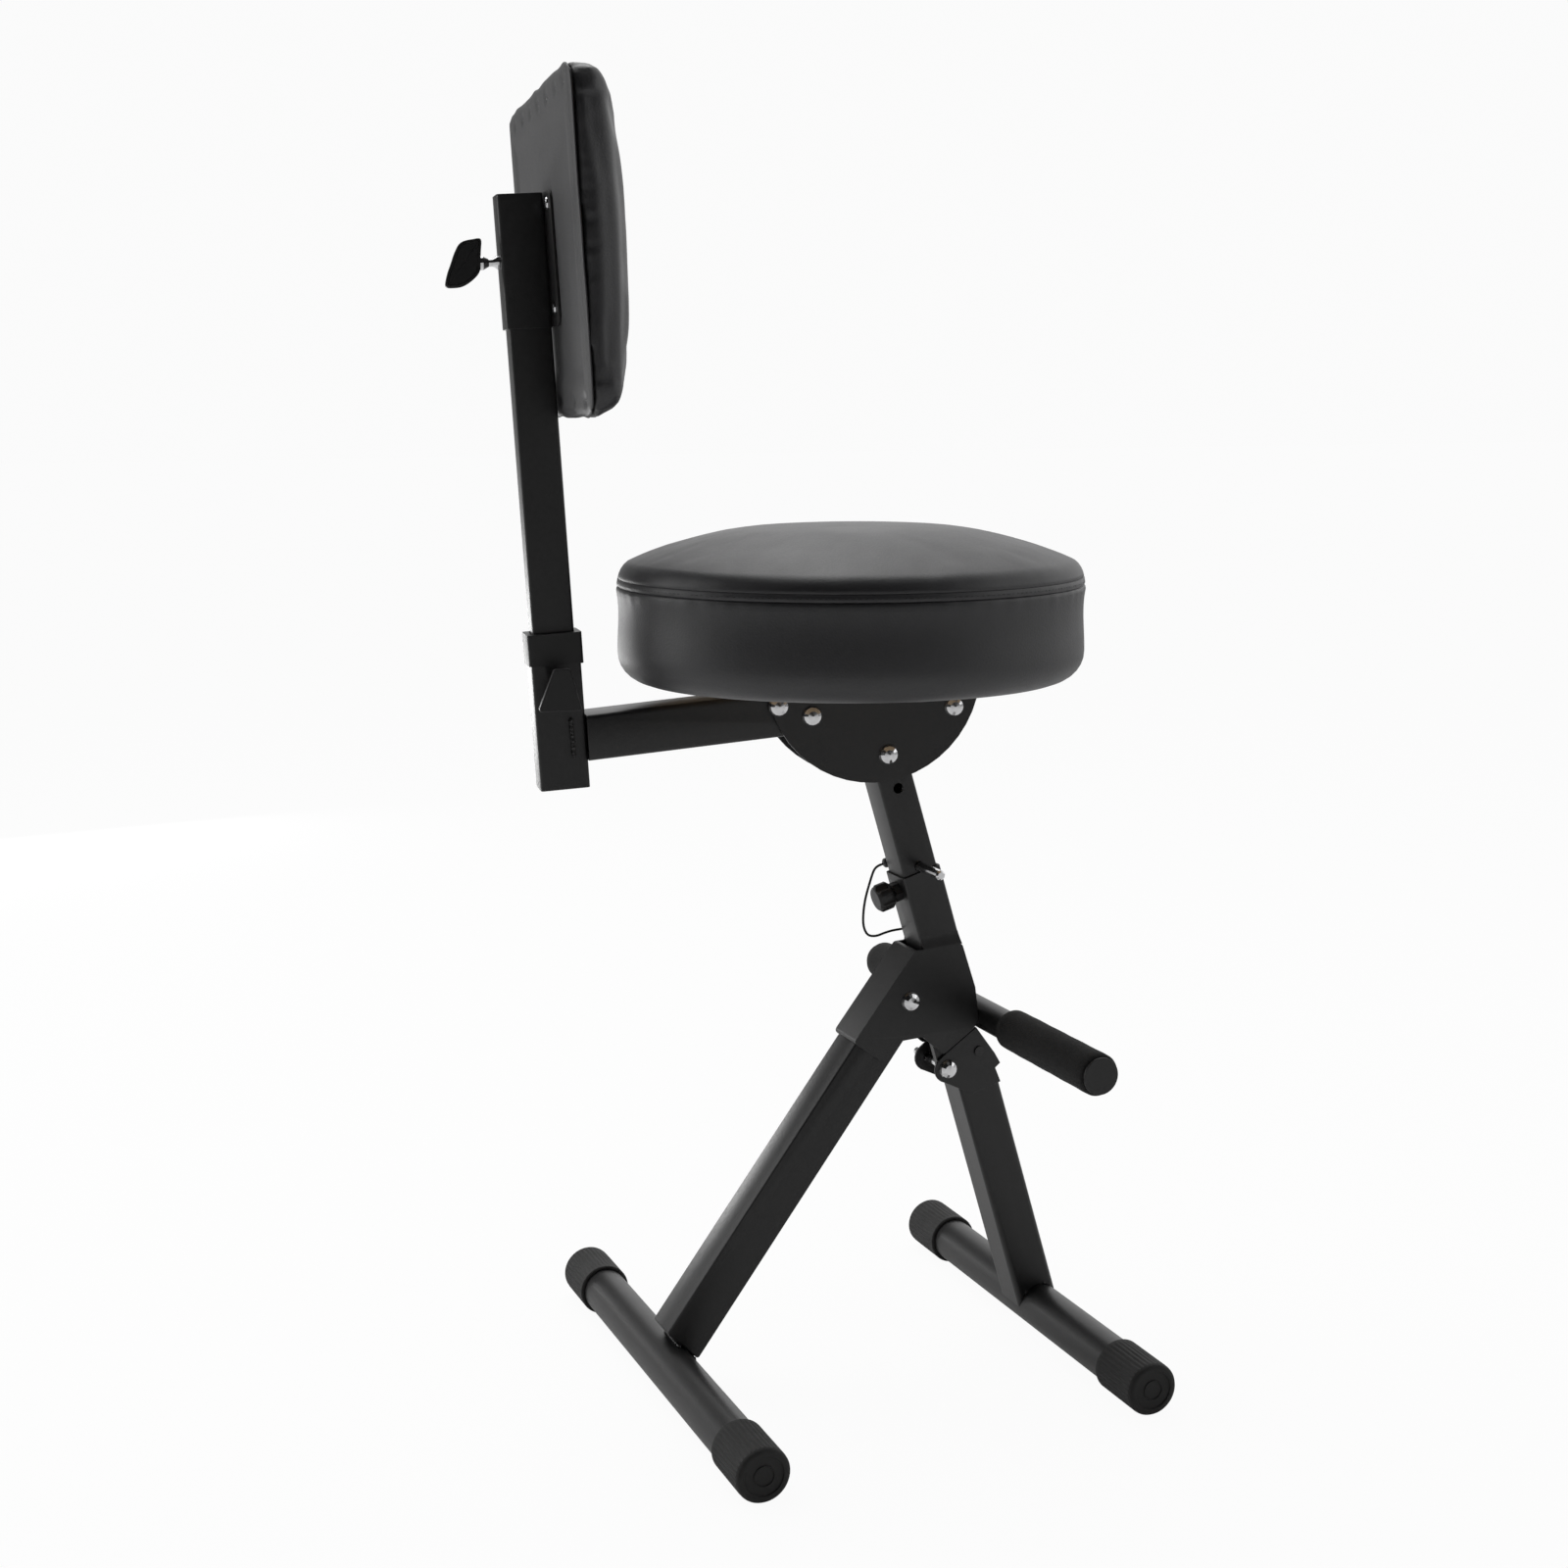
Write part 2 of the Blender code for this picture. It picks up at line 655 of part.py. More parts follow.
def build_front_leg():
    """Front leg, in line with the column, and the bracket that hinges it."""
    body = front_leg_body
    half = tube_width / 2
    top = on_column(front_leg_top_z)
    foot = Vector((0, front_bar_y, bar_z))
    leg = square_tube("front_leg", tube_width, leg_depth, leg_wall, tube_corner, foot, top, body,
                      black_paint)
    saddle = hole("front_leg_saddle", bar_radius + fit, foot, across, tube_width, body, round_steps)
    latch = Vector((0, latch_y, latch_z))
    outline = []
    ear_steps = 8
    for step in range(ear_steps + 1):
        turn = ear_nose_turn + (ear_fall_turn - ear_nose_turn) * step / ear_steps
        outline.append((front_hinge_y + ear_radius * cos(turn), front_hinge_z + ear_radius * sin(turn)))
    front_foot = on_column(bracket_foot_z, -leg_depth / 2)
    rear_foot = on_column(bracket_foot_z, leg_depth / 4)
    outline.append((rear_foot.y, rear_foot.z))
    outline.append((front_foot.y, front_foot.z))
    slope = (Vector(hub_nose) - Vector(hub_chin)).normalized()
    below = Vector((slope.y, -slope.x))
    top_corner = Vector(hub_chin) + below * bracket_gap - slope * bracket_lead
    slope_end = Vector(hub_nose) + below * bracket_gap - slope * bracket_tail
    outline += [bracket_tab_foot, bracket_tab, bracket_front, tuple(top_corner), tuple(slope_end)]
    inner = half + fit
    for name, sign in (("left", -1), ("right", 1)):
        near = sign * inner
        far = sign * (inner + hub_plate)
        plate = side_solid("leg_bracket_" + name, [outline], min(near, far), max(near, far), body,
                           black_paint)
        hinge_hole = hole("ear_hole_" + name, rivet_radius + fit, front_hinge + across * near, across,
                          leg_depth / 2, body)
        latch_hole = hole("latch_hole_" + name, latch_radius + fit, latch + across * near, across,
                          leg_depth / 2, body)
        cut(plate, hinge_hole, latch_hole)
    leg_latch = hole("leg_latch_hole", latch_radius + fit, latch, across, tube_width, body)
    cut(leg, saddle, leg_latch)
    out = inner + hub_plate + fit
    profile = [(0, out + latch_head), (latch_radius + latch_head, out + latch_head),
               (latch_radius + latch_head, out), (latch_radius, out), (latch_radius, -out),
               (latch_radius + latch_head, -out), (latch_radius + latch_head, -out - latch_head),
               (0, -out - latch_head)]
    turned_piece("latch_rivet", profile, latch, across, body, black_paint)
    build_bar("front", front_bar_y, front_bar_half, body)


def build_hub():
    """Hub channel: two side plates joined by a web along the rear leg."""
    body = base
    half = tube_width / 2 + fit + hub_plate
    points = [hub_web_top, hub_web_foot, hub_rear_tip, hub_crotch, hub_under, hub_nose, hub_chin,
              hub_front_low, hub_front_mid, hub_front_top]
    hub = side_solid("hub", [rounded(points, hub_corner)], -half, half, body, black_paint)
    web = Vector(hub_web_foot) - Vector(hub_web_top)
    inward = Vector((web.y, -web.x)).normalized()
    if inward.dot(Vector(hub_nose) - Vector(hub_web_top)) < 0:
        inward = -inward
    slope = web.normalized()
    reach = web.length
    web_start = Vector(hub_web_top) + inward * hub_plate - slope * reach
    web_end = Vector(hub_web_foot) + inward * hub_plate + slope * reach
    room = [tuple(web_start), tuple(web_end), tuple(web_end + inward * 2 * reach),
            tuple(web_start + inward * 2 * reach)]
    inside = tube_width / 2 + fit
    pocket = side_solid("hub_room", [room], -inside, inside, body, None, cutters)
    rest_hole = hole("footrest_notch", footrest_radius + fit, Vector((0, footrest_y, footrest_z)), across,
                     leg_depth, body, round_steps)
    pivot_hole = hole("hub_pivot_hole", rivet_radius + fit, rear_pivot, across, leg_depth, body)
    cut(hub, pocket, rest_hole, pivot_hole)
    rivet("rear_pivot_rivet", rear_pivot, half + fit, body)

    lug_steps = 10
    lug = []
    for step in range(lug_steps + 1):
        turn = pi + pi * step / lug_steps
        point = front_hinge + column_rear * (lug_radius * cos(turn)) + column_up * (lug_radius * sin(turn))
        lug.append((point.y, point.z))
    for side in (1, -1):
        point = front_hinge + column_rear * (lug_radius * side) + column_up * lug_height
        lug.append((point.y, point.z))
    hinge_lug = side_solid("hinge_lug", [lug], -tube_width / 2, lug_thickness - tube_width / 2, body,
                           black_paint)
    cut(hinge_lug, hole("lug_hole", rivet_radius + fit, front_hinge, across, leg_depth, body))

    start = -half - fit
    far = half + fit + axle_overhang
    head = dome(dome_radius, dome_height, 0)
    profile = [(0, far), (rivet_radius, far), (rivet_radius, start), (dome_radius, start)]
    profile += [(radius, start - height) for radius, height in reversed(head[:-1])]
    turned_piece("front_hinge_axle", profile, front_hinge, across, body, bright_chrome)
    nut_start = front_hinge + across * (half + fit)
    build_nut("front_hinge_nut", rivet_radius, axle_nut_depth, nut_start, across, body)


def build_column():
    """Column with its row of holes, its sleeve, the pin and the clamp knob."""
    head = pivot + column_up * column_head
    foot = on_column(column_foot_z)
    column = square_tube("column", column_size, column_size, column_wall, column_corner, foot, head,
                         column_body, black_paint)
    drill = pin_radius + fit
    turned_across = twist_about.to_3x3() @ across
    tools = [hole("pivot_drill", bolt_radius + fit, pivot, turned_across, column_size, column_body)]
    for index in range(-holes_below, holes_above + 1):
        centre = pin_centre + column_up * (hole_pitch * index)
        tools.append(hole("height_drill", drill, centre, across, column_size, column_body))
    cut(column, *tools)

    sleeve = square_tube("column_sleeve", tube_width, sleeve_depth, sleeve_wall, column_corner,
                         on_column(sleeve_foot_z), mouth, base, black_paint)
    stud_hole = hole("clamp_drill", clamp_stud_radius + fit, clamp_point + column_rear * sleeve_depth / 2,
                     column_rear, column_size / 4, base)
    cut(sleeve, stud_hole)

    near = column_size / 2 + pin_reach
    far = column_size / 2 + handle_gap
    profile = [(0, far), (pin_radius, far), (pin_radius, pin_tip - near), (pin_radius - pin_tip, -near),
               (0, -near)]
    turned_piece("height_pin", profile, pin_centre, across, pin_body, bright_chrome)
    grip_centre = pin_centre + across * (far + fit + handle_radius)
    grip_start = grip_centre - column_rear * (handle_length / 2)
    end = handle_radius / 3
    profile = [(0, handle_length), (handle_radius - end, handle_length),
               (handle_radius, handle_length - end), (handle_radius, end), (handle_radius - end, 0), (0, 0)]
    turned_piece("pin_handle", profile, grip_start, column_rear, pin_body, black_plastic)

    face = clamp_point + column_rear * (sleeve_depth / 2 + fit)
    build_nut("clamp_nut", clamp_stud_radius, nut_thickness, face, column_rear, base)
    stud_start = clamp_point + column_rear * (column_size / 2 + fit)
    head_low = sleeve_depth / 2 + nut_thickness + 3 * fit - column_size / 2
    head_top = head_low + clamp_head
    edge = clamp_head * clamp_edge_share
    profile = [(0, head_top), (clamp_head_radius - edge, head_top), (clamp_head_radius, head_top - edge),
               (clamp_head_radius, head_low + edge), (clamp_head_radius - edge, head_low),
               (clamp_stud_radius, head_low), (clamp_stud_radius, 0), (0, 0)]
    knob = turned_piece("clamp_knob", profile, stud_start, column_rear, clamp_body, black_plastic,
                        4 * clamp_lobes)
    for lobe in range(clamp_lobes):
        turn = 2 * pi * lobe / clamp_lobes
        out = across * cos(turn) + column_up * sin(turn)
        centre = stud_start + out * (clamp_head_radius * clamp_groove_share) + column_rear * (head_low + clamp_head)
        groove = hole("clamp_groove", clamp_head_radius / 2, centre, column_rear, clamp_head - edge,
                      clamp_body, 2 * clamp_lobes)
        cut(knob, groove)


def build_lanyard():
    """The thin cord that keeps the pin: round the rear, down and back up."""
    anchor = mouth - column_up * anchor_drop + across * (tube_width / 2 + fit)
    turned_piece("lanyard_anchor", rod_profile(anchor_radius, anchor_depth), anchor, across, base, zinc_steel)
    grip_x = column_size / 2 + handle_gap + fit + handle_radius
    grip_tail = pin_centre + across * grip_x + column_rear * (handle_length / 2 + fit)
    anchor_x = tube_width / 2 + fit + anchor_depth + fit
    tail_back, tail_up = cord_tail
    bend = Vector(cord_bend) + Vector((anchor_x, anchor.y, anchor.z))
    route = [(grip_x, grip_tail.y, grip_tail.z), (grip_x, grip_tail.y + tail_back, grip_tail.z + tail_up)]
    route += cord_loop
    route += [bend, (anchor_x + cord_entry, anchor.y, anchor.z), (anchor_x, anchor.y, anchor.z)]
    points = smooth_route([Vector(point) for point in route], 3)
    data = bpy.data.curves.new("lanyard", "CURVE")
    data.dimensions = "3D"
    data.bevel_depth = cord_radius
    data.bevel_resolution = 2
    data.use_fill_caps = True
    spline = data.splines.new("POLY")
    spline.points.add(len(points) - 1)
    for target, point in zip(spline.points, points):
        target.co = (*point, 1)
    mesh = mesh_of(data, Matrix.Identity(4))
    keep(mesh, "lanyard", base, cord_black)


def smooth_route(points, steps):
    """Points of a Catmull-Rom curve through a route, with straight ends."""
    result = [points[0]]
    for index in range(len(points) - 1):
        before = points[max(index - 1, 0)]
        first = points[index]
        second = points[index + 1]
        after = points[min(index + 2, len(points) - 1)]
        for step in range(1, steps + 1):
            t = step / steps
            point = (first * 2 + (second - before) * t
                     + (before * 2 - first * 5 + second * 4 - after) * t ** 2
                     + (first * 3 - before - second * 3 + after) * t ** 3) / 2
            result.append(point)
    return result


def build_footrest():
    """Footrest bar through the hub's front, foam grips and end plugs."""
    body = base
    centre = Vector((0, footrest_y, footrest_z))
    half = footrest_half - plug_flange - fit
    bar_profile = ring_profile(footrest_radius, footrest_radius - footrest_wall, 2 * half)
    turned_piece("footrest_bar", bar_profile, centre - across * half, across, body, black_paint, round_steps)
    for name, sign in (("left", -1), ("right", 1)):
        outward = across * sign
        length = half - foam_start
        bore = footrest_radius + fit
        profile = [(foam_radius - foam_edge, length), (foam_radius, length - foam_edge),
                   (foam_radius, foam_edge), (foam_radius - foam_edge, 0), (bore, 0), (bore, length)]
        turned_piece("foam_grip_" + name, profile, centre + outward * foam_start, outward, body,
                     black_foam, round_steps)
        inner = footrest_radius - footrest_wall - fit
        disc = foam_radius - foam_edge
        profile = [(0, plug_flange), (disc, plug_flange), (disc, 0), (inner, 0), (inner, -plug_depth),
                   (0, -plug_depth)]
        turned_piece("footrest_plug_" + name, profile, centre + outward * (half + fit), outward, body,
                     black_plastic, round_steps)


def build_seat():
    """Seat pad: a crowned turned form with a seam, a drawn-in side and a pocket below."""
    body = seat_body
    seat_axis = Vector((0, 0, seat_floor_z))
    total = seat_crown_z - seat_floor_z
    seam = seat_seam_z - seat_floor_z
    rim = seat_rim_z - seat_floor_z
    pocket = board_z + board_thickness + fit - seat_floor_z
    pocket_radius = board_radius + fit
    profile = [(0, total)]
    crown_steps = 9
    for step in range(1, crown_steps + 1):
        share = step / crown_steps
        profile.append((seat_rim_radius * share, total - (total - rim) * share ** seat_crown_power))
    profile.append((seat_radius - seat_welt * 2, seam + (rim - seam) * seat_shoulder_share))
    profile.append((seat_radius, seam + seat_welt))
    profile.append((seat_radius - seat_welt, seam))
    side_steps = 4
    lower = seat_under_edge
    for step in range(1, side_steps + 1):
        share = step / side_steps
        drawn = seat_draw * sin(pi * share)
        profile.append((seat_radius - drawn * (1 - share), seam - (seam - lower) * share))
    edge_steps = 3
    for step in range(1, edge_steps + 1):
        turn = pi / 2 * step / edge_steps
        profile.append((seat_radius - lower * (1 - cos(turn)), lower * (1 - sin(turn))))
    profile += [(pocket_radius, 0), (pocket_radius, pocket), (0, pocket)]
    turned_piece("seat_pad", profile, seat_axis, Vector((0, 0, 1)), body, black_vinyl, seat_steps)
    board_low = Vector((0, 0, board_z))
    turned_piece("seat_board", rod_profile(board_radius, board_thickness), board_low,
                 Vector((0, 0, 1)), body, plywood, seat_steps)

    inner = plate_gap / 2
    plate_top = board_z - fit
    flange_end = disc_radius - plate_thickness
    for name, sign in (("left", -1), ("right", 1)):
        arc_steps = 24
        outline = []
        for step in range(arc_steps + 1):
            turn = pi + pi * step / arc_steps
            outline.append((disc_y + disc_radius * cos(turn), plate_top + disc_radius * sin(turn)))
        near = sign * inner
        far = sign * (inner + plate_thickness)
        plate = side_solid("bracket_plate_" + name, [outline], min(near, far), max(near, far), body,
                           black_paint)
        flange_box = [(disc_y - flange_end, plate_top - plate_thickness),
                      (disc_y + flange_end, plate_top - plate_thickness),
                      (disc_y + flange_end, plate_top), (disc_y - flange_end, plate_top)]
        out = sign * (inner + flange_width)
        flange = side_solid("flange_" + name, [flange_box], min(near, out), max(near, out), body, None,
                            cutters)
        joined = plate.modifiers.new("flange", "BOOLEAN")
        joined.operation = "UNION"
        joined.solver = "EXACT"
        joined.object = flange
        tools = [hole("plate_drill", bolt_radius + fit, Vector((near, point[0], point[1])), across,
                      leg_depth / 2, body)
                 for point in ((pivot.y, pivot.z), arm_bolt_front, arm_bolt_rear, front_bolt)]
        screw_x = sign * (inner + flange_width * flange_screw_share)
        for index, screw_y in enumerate(flange_screw_y):
            seat_point = Vector((screw_x, screw_y, plate_top - plate_thickness - fit))
            tools.append(hole("flange_drill", screw_radius + fit, seat_point, Vector((0, 0, 1)),
                              2 * plate_thickness, body))
            place = "front" if index == 0 else "rear"
            wood_screw("seat_screw_" + place + "_" + name, seat_point, Vector((0, 0, 1)), body)
        cut(plate, *tools)

    out = inner + plate_thickness + fit
    rivet("column_pivot_bolt", pivot, out, body, shaft=bolt_radius)
    for name, point in (("arm_rivet_front", arm_bolt_front), ("arm_rivet_rear", arm_bolt_rear),
                        ("bracket_front_rivet", front_bolt)):
        rivet(name, Vector((0, point[0], point[1])), out, body, shaft=bolt_radius)
    spacer = ring_profile(spacer_radius, bolt_radius + fit, plate_gap - 2 * fit)
    start = Vector((fit - inner, front_bolt[0], front_bolt[1]))
    turned_piece("bracket_spacer", spacer, start, across, body, zinc_steel)

    front = -(column_size / 2 + stop_gap)
    low = on_column(stop_low_z, front)
    high = on_column(stop_high_z, front)
    block = [(low.y, low.z), (high.y, high.z), (high.y - stop_thickness, high.z),
             (low.y - stop_thickness, low.z)]
    side_solid("bracket_stop", [block], fit - inner, inner - fit, body, black_paint)


def wood_screw(name, point, direction, body):
    """A screw with a domed head, driven along direction from its seat."""
    head = dome(screw_head_radius, screw_head_height, 0)
    start = 0
    profile = [(0, board_screw_length), (screw_radius / 2, board_screw_length),
               (screw_radius, board_screw_length - screw_radius), (screw_radius, start),
               (screw_head_radius, start)]
    profile += [(radius, -height) for radius, height in reversed(head[:-1])]
    return turned_piece(name, profile, point, direction, body, bright_chrome, small_steps // 2)


def build_arm():
    """Arm, post socket, its collar and the wing knob."""
    body = seat_body
    arm_width = plate_gap - 2 * fit
    socket_width = post_width + 2 * fit + 2 * socket_wall
    socket_depth = post_depth + 2 * fit + 2 * socket_wall
    middle = post_depth / 2
    socket_front = on_post(arm_end_z, middle + socket_depth / 2 + fit)
    arm_end = Vector((0, socket_front.y, arm_end_z))
    arm_start = arm_end + Vector((0, arm_front_y - arm_end.y, (arm_end.y - arm_front_y) * tan(arm_fall)))
    arm_reach = arm_end + (arm_end - arm_start).normalized() * leg_depth / 2
    arm = square_tube("backrest_arm", arm_width, arm_depth, arm_wall, tube_corner, arm_start, arm_reach,
                      body, black_paint)
    low = on_post(arm_end_z - arm_depth, middle)
    high = on_post(arm_end_z + arm_depth, middle)
    trim = square_tube("arm_trim", arm_width * 2, socket_depth + 2 * fit, 0, 0, low, high, body, None,
                       cutters)
    drills = [hole("arm_drill", bolt_radius + fit, Vector((0, point[0], point[1])), across, leg_depth, body)
              for point in (arm_bolt_front, arm_bolt_rear)]
    cut(arm, trim, *drills)

    socket = square_tube("post_socket", socket_width, socket_depth, socket_wall, column_corner,
                         on_post(socket_foot_z, middle), on_post(socket_mouth_z, middle), body, black_paint)
    side_face = across * (-socket_width / 2)
    stud_hole = hole("socket_drill", knob_stud_radius + fit, socket_axis + side_face, across,
                     column_size / 4, body)
    cut(socket, stud_hole)

    collar_width = socket_width + 2 * fit + 2 * collar_wall
    collar_depth = socket_depth + 2 * fit + 2 * collar_wall
    collar_low = on_post(collar_low_z, middle)
    collar_high = on_post(collar_high_z, middle)
    collar = square_tube("socket_collar", collar_width, collar_depth, 0, column_corner, collar_low,
                         collar_high, body, black_plastic)
    lip_low = on_post(socket_mouth_z, middle) + post_up * fit
    room = square_tube("collar_room", socket_width + 2 * fit, socket_depth + 2 * fit, 0, column_corner,
                       collar_low - post_up * overrun, lip_low, body, None, cutters)
    passage = square_tube("collar_passage", post_width + 2 * fit, post_depth + 2 * fit, 0,
                          column_corner, lip_low - post_up * overrun, collar_high + post_up * overrun,
                          body, None, cutters)
    cut(collar, room, passage)

    outward = -across
    tip = socket_axis + outward * (post_width / 2 + fit)
    boss_low = socket_width / 2 + fit - (post_width / 2 + fit)
    boss_high = boss_low + knob_boss_length
    profile = [(0, boss_high), (knob_boss_radius, boss_high), (knob_boss_radius, boss_low),
               (knob_stud_radius, boss_low), (knob_stud_radius, 0), (0, 0)]
    boss = turned_piece("socket_knob", profile, tip, outward, socket_knob_body, black_plastic)
    y = socket_axis.y
    z = socket_axis.z
    wing = [(y - wing_low_half, z - wing_below), (y + wing_low_half + wing_skew, z - wing_below),
            (y + wing_top_half, z + wing_above), (y - wing_top_half, z + wing_above)]
    wing_out = -(post_width / 2 + fit + boss_high)
    wing_in = wing_out + wing_thickness
    paddle = side_solid("socket_wing", [rounded(wing, wing_corner)], wing_out - fit, wing_in,
                        socket_knob_body, None, cutters)
    joined = boss.modifiers.new("wing", "BOOLEAN")
    joined.operation = "UNION"
    joined.solver = "EXACT"
    joined.object = paddle


def build_post():
    """Post and its two end plugs."""
    body = post_body
    middle = post_depth / 2
    foot = on_post(post_foot_z, middle)
    head = on_post(post_head_z, middle)
    square_tube("post", post_width, post_depth, post_wall, column_corner, foot, head, body, black_paint)
    inner_width = post_width - 2 * post_wall - 2 * fit
    inner_depth = post_depth - 2 * post_wall - 2 * fit
    plug_corner = column_corner - post_wall + fit
    lid_middle = fit + plug_flange / 2
    for name, end, inward in (("post_foot_plug", foot, post_up), ("post_head_plug", head, -post_up)):
        stem = square_tube(name, inner_width, inner_depth, 0, plug_corner, end - inward * lid_middle,
                           end + inward * plug_depth, body, black_plastic)
        cap_start = end - inward * (fit + plug_flange)
        lid = square_tube(name + "_lid", post_width - fit, post_depth - fit, 0, column_corner, cap_start,
                          end - inward * fit, body, None, cutters)
        joined = stem.modifiers.new("lid", "BOOLEAN")
        joined.operation = "UNION"
        joined.solver = "EXACT"
        joined.object = lid


def build_carriage():
    """Carriage channel on the post, its mounting plate, screws and knob."""
    body = carriage_body
    width = post_width + 2 * fit + 2 * carriage_wall
    depth = carriage_rear + post_depth + fit
    centre_ahead = (post_depth + fit - carriage_rear) / 2
    low = on_post(carriage_low_z, centre_ahead)
    high = on_post(carriage_high_z, centre_ahead)
    channel = square_tube("carriage", width, depth, 0, carriage_corner, low, high, body, black_paint)
    room_ahead = post_depth / 2 + overrun / 2
    room = square_tube("carriage_room", post_width + 2 * fit, post_depth + 2 * fit + overrun, 0,
                       column_corner, on_post(carriage_low_z, room_ahead) - post_up * overrun,
                       on_post(carriage_high_z, room_ahead) + post_up * overrun, body, None, cutters)
    stud_hole = hole("carriage_drill", stud_waist + fit, knob_mid, post_rear, column_size / 4, body)
    cut(channel, room, stud_hole)

    plate_ahead = post_depth + 2 * fit + mount_plate_thickness / 2
    plate_low = on_post(carriage_low_z, plate_ahead)
    plate_high = on_post(carriage_high_z, plate_ahead)
    length = (plate_high - plate_low).length
    outline = rounded([(-mount_plate_half, -length / 2), (mount_plate_half, -length / 2),
                       (mount_plate_half, length / 2), (-mount_plate_half, length / 2)],
                      mount_plate_corner, 2 * corner_steps)
    mesh = mesh_of(flat_curve([outline], mount_plate_thickness / 2), Matrix.Identity(4))
    turn = Matrix((across, post_up, across.cross(post_up))).transposed().to_4x4()
    place = Matrix.Translation((plate_low + plate_high) / 2) @ turn
    plate = keep(mesh, "mounting_plate", body, black_paint, place)
    tools = []
    for side, sign in (("left", -1), ("right", 1)):
        for level, height in zip(("low", "high"), plate_screw_z):
            seat = on_post(height, post_depth + fit) + across * (sign * plate_screw_x)
            tools.append(hole("plate_screw_drill", screw_radius + fit, seat, post_rear,
                              3 * mount_plate_thickness, body))
            wood_screw("plate_screw_" + level + "_" + side, seat, -post_rear, body)
    cut(plate, *tools)

    stud_start = on_post(carriage_knob_z) + post_rear * fit
    reach = carriage_rear - fit
    collar, waist, waist_end, flare = stud_shares
    profile = [(0, reach + stud_length), (stud_large, reach + stud_length),
               (stud_large, reach + stud_length * flare), (stud_waist, reach + stud_length * waist_end),
               (stud_waist, reach + stud_length * waist), (stud_large, reach + stud_length * collar),
               (stud_large, reach + fit), (stud_waist, reach + fit), (stud_waist, 0), (0, 0)]
    turned_piece("carriage_knob_stud", profile, stud_start, post_rear, carriage_knob_body, bright_chrome)
    low_corner = handle_start - Vector((0, 0, handle_height - handle_above))
    wing = [(low_corner.y + handle_depth * back, low_corner.z + handle_height * up)
            for back, up in wing_head_shares]
    head = side_solid("carriage_knob_head", [rounded(wing, wing_corner)], -handle_thickness / 2,
                      handle_thickness / 2, carriage_knob_body, black_plastic)
    stud_end = knob_mid + post_rear * (stud_length + fit)
    relief = hole("knob_relief", stud_large + fit, stud_end - post_rear * handle_depth, post_rear,
                  handle_depth, carriage_knob_body)
    cut(head, relief)


def build_back_pad():
    """Backrest pad: a crowned block with drawn-in sides, and its board."""
    body = carriage_body
    back_ahead = post_depth + 3 * fit + mount_plate_thickness
    low = on_post(pad_low_z, back_ahead)
    high = on_post(pad_high_z, back_ahead)
    length = (high - low).length
    place = Matrix.Translation((low + high) / 2) @ Matrix((across, -post_rear, post_up)).transposed().to_4x4()
    shape = bmesh.new()
    bmesh.ops.create_cube(shape, size=1)
    for axis, count in ((0, pad_columns), (2, pad_rows), (1, pad_layers)):
        edges = [edge for edge in shape.edges
                 if abs(abs((edge.verts[0].co - edge.verts[1].co)[axis]) - 1) < 0.5]
        bmesh.ops.subdivide_edges(shape, edges=edges, cuts=count - 1, use_grid_fill=True)
    for vert in shape.verts:
        u = vert.co.x * 2
        w = vert.co.z * 2
        ahead = vert.co.y + 0.5
        dome_share = (1 - u ** 4) * (1 - w ** 4)
        edge_share = sin(pi * ahead) * (1 - ahead / 2)
        half_x = pad_half_width - pad_draw * edge_share * (1 - w * w)
        half_z = length / 2 - pad_draw * edge_share * (1 - u * u) - pad_round_low * ahead * ahead
        vert.co.x = u * half_x
        vert.co.z = w * half_z
        thick = pad_thickness * (1 - pad_thin_share * w * w) + pad_crown * dome_share
        vert.co.y = ahead * thick
    bmesh.ops.recalc_face_normals(shape, faces=shape.faces)
    crease = shape.edges.layers.float.new("crease_edge")
    for edge in shape.edges:
        if all(vert.co.y < weld_distance for vert in edge.verts) and any(
                face.normal.y > -0.9 for face in edge.link_faces):
            edge[crease] = pad_crease_share
    mesh = bpy.data.meshes.new("backrest_pad")
    shape.to_mesh(mesh)
    shape.free()
    mesh.shade_smooth()
    pad = keep(mesh, "backrest_pad", body, black_vinyl, place)
    smooth = pad.modifiers.new("smooth", "SUBSURF")
    smooth.levels = 1
    smooth.render_levels = 1
    board_half = pad_half_width - back_board_margin
    board_low = on_post(pad_low_z + back_board_margin, back_ahead)
    board_high = on_post(pad_high_z - back_board_margin, back_ahead)
    shift = -post_rear * (back_board_recess + back_board_thickness / 2)
    square_tube("backrest_board", 2 * board_half, back_board_thickness, 0, 0, board_low + shift,
                board_high + shift, body, plywood)
    room_depth = back_board_recess + back_board_thickness + fit + overrun
    room_shift = -post_rear * (room_depth / 2 - overrun)
    room = square_tube("board_room", 2 * (board_half + fit), room_depth, 0, 0,
                       board_low + room_shift - post_up * fit, board_high + room_shift + post_up * fit,
                       body, None, cutters)
    cut(pad, room)
    for side, sign in (("left", -1), ("right", 1)):
        for height in plate_screw_z:
            seat = on_post(height, post_depth) + across * (sign * plate_screw_x)
            drill = hole("board_screw_drill", screw_radius + fit, seat, post_rear,
                         board_screw_length + 4 * fit + mount_plate_thickness, body)
            cut(bpy.data.objects["backrest_board"], drill)


build_hub()
build_rear_leg()
build_front_leg()
build_column()
build_lanyard()
build_footrest()
build_seat()
build_arm()
build_post()
build_carriage()
build_back_pad()
for side, sign in (("left", -1), ("right", 1)):
    for screw_y in flange_screw_y:
        screw_x = sign * (plate_gap / 2 + flange_width * flange_screw_share)
        drill = hole("seat_screw_drill", screw_radius + fit, Vector((screw_x, screw_y, board_z)),
                     Vector((0, 0, 1)), board_screw_length, seat_body)
        cut(bpy.data.objects["seat_board"], drill)

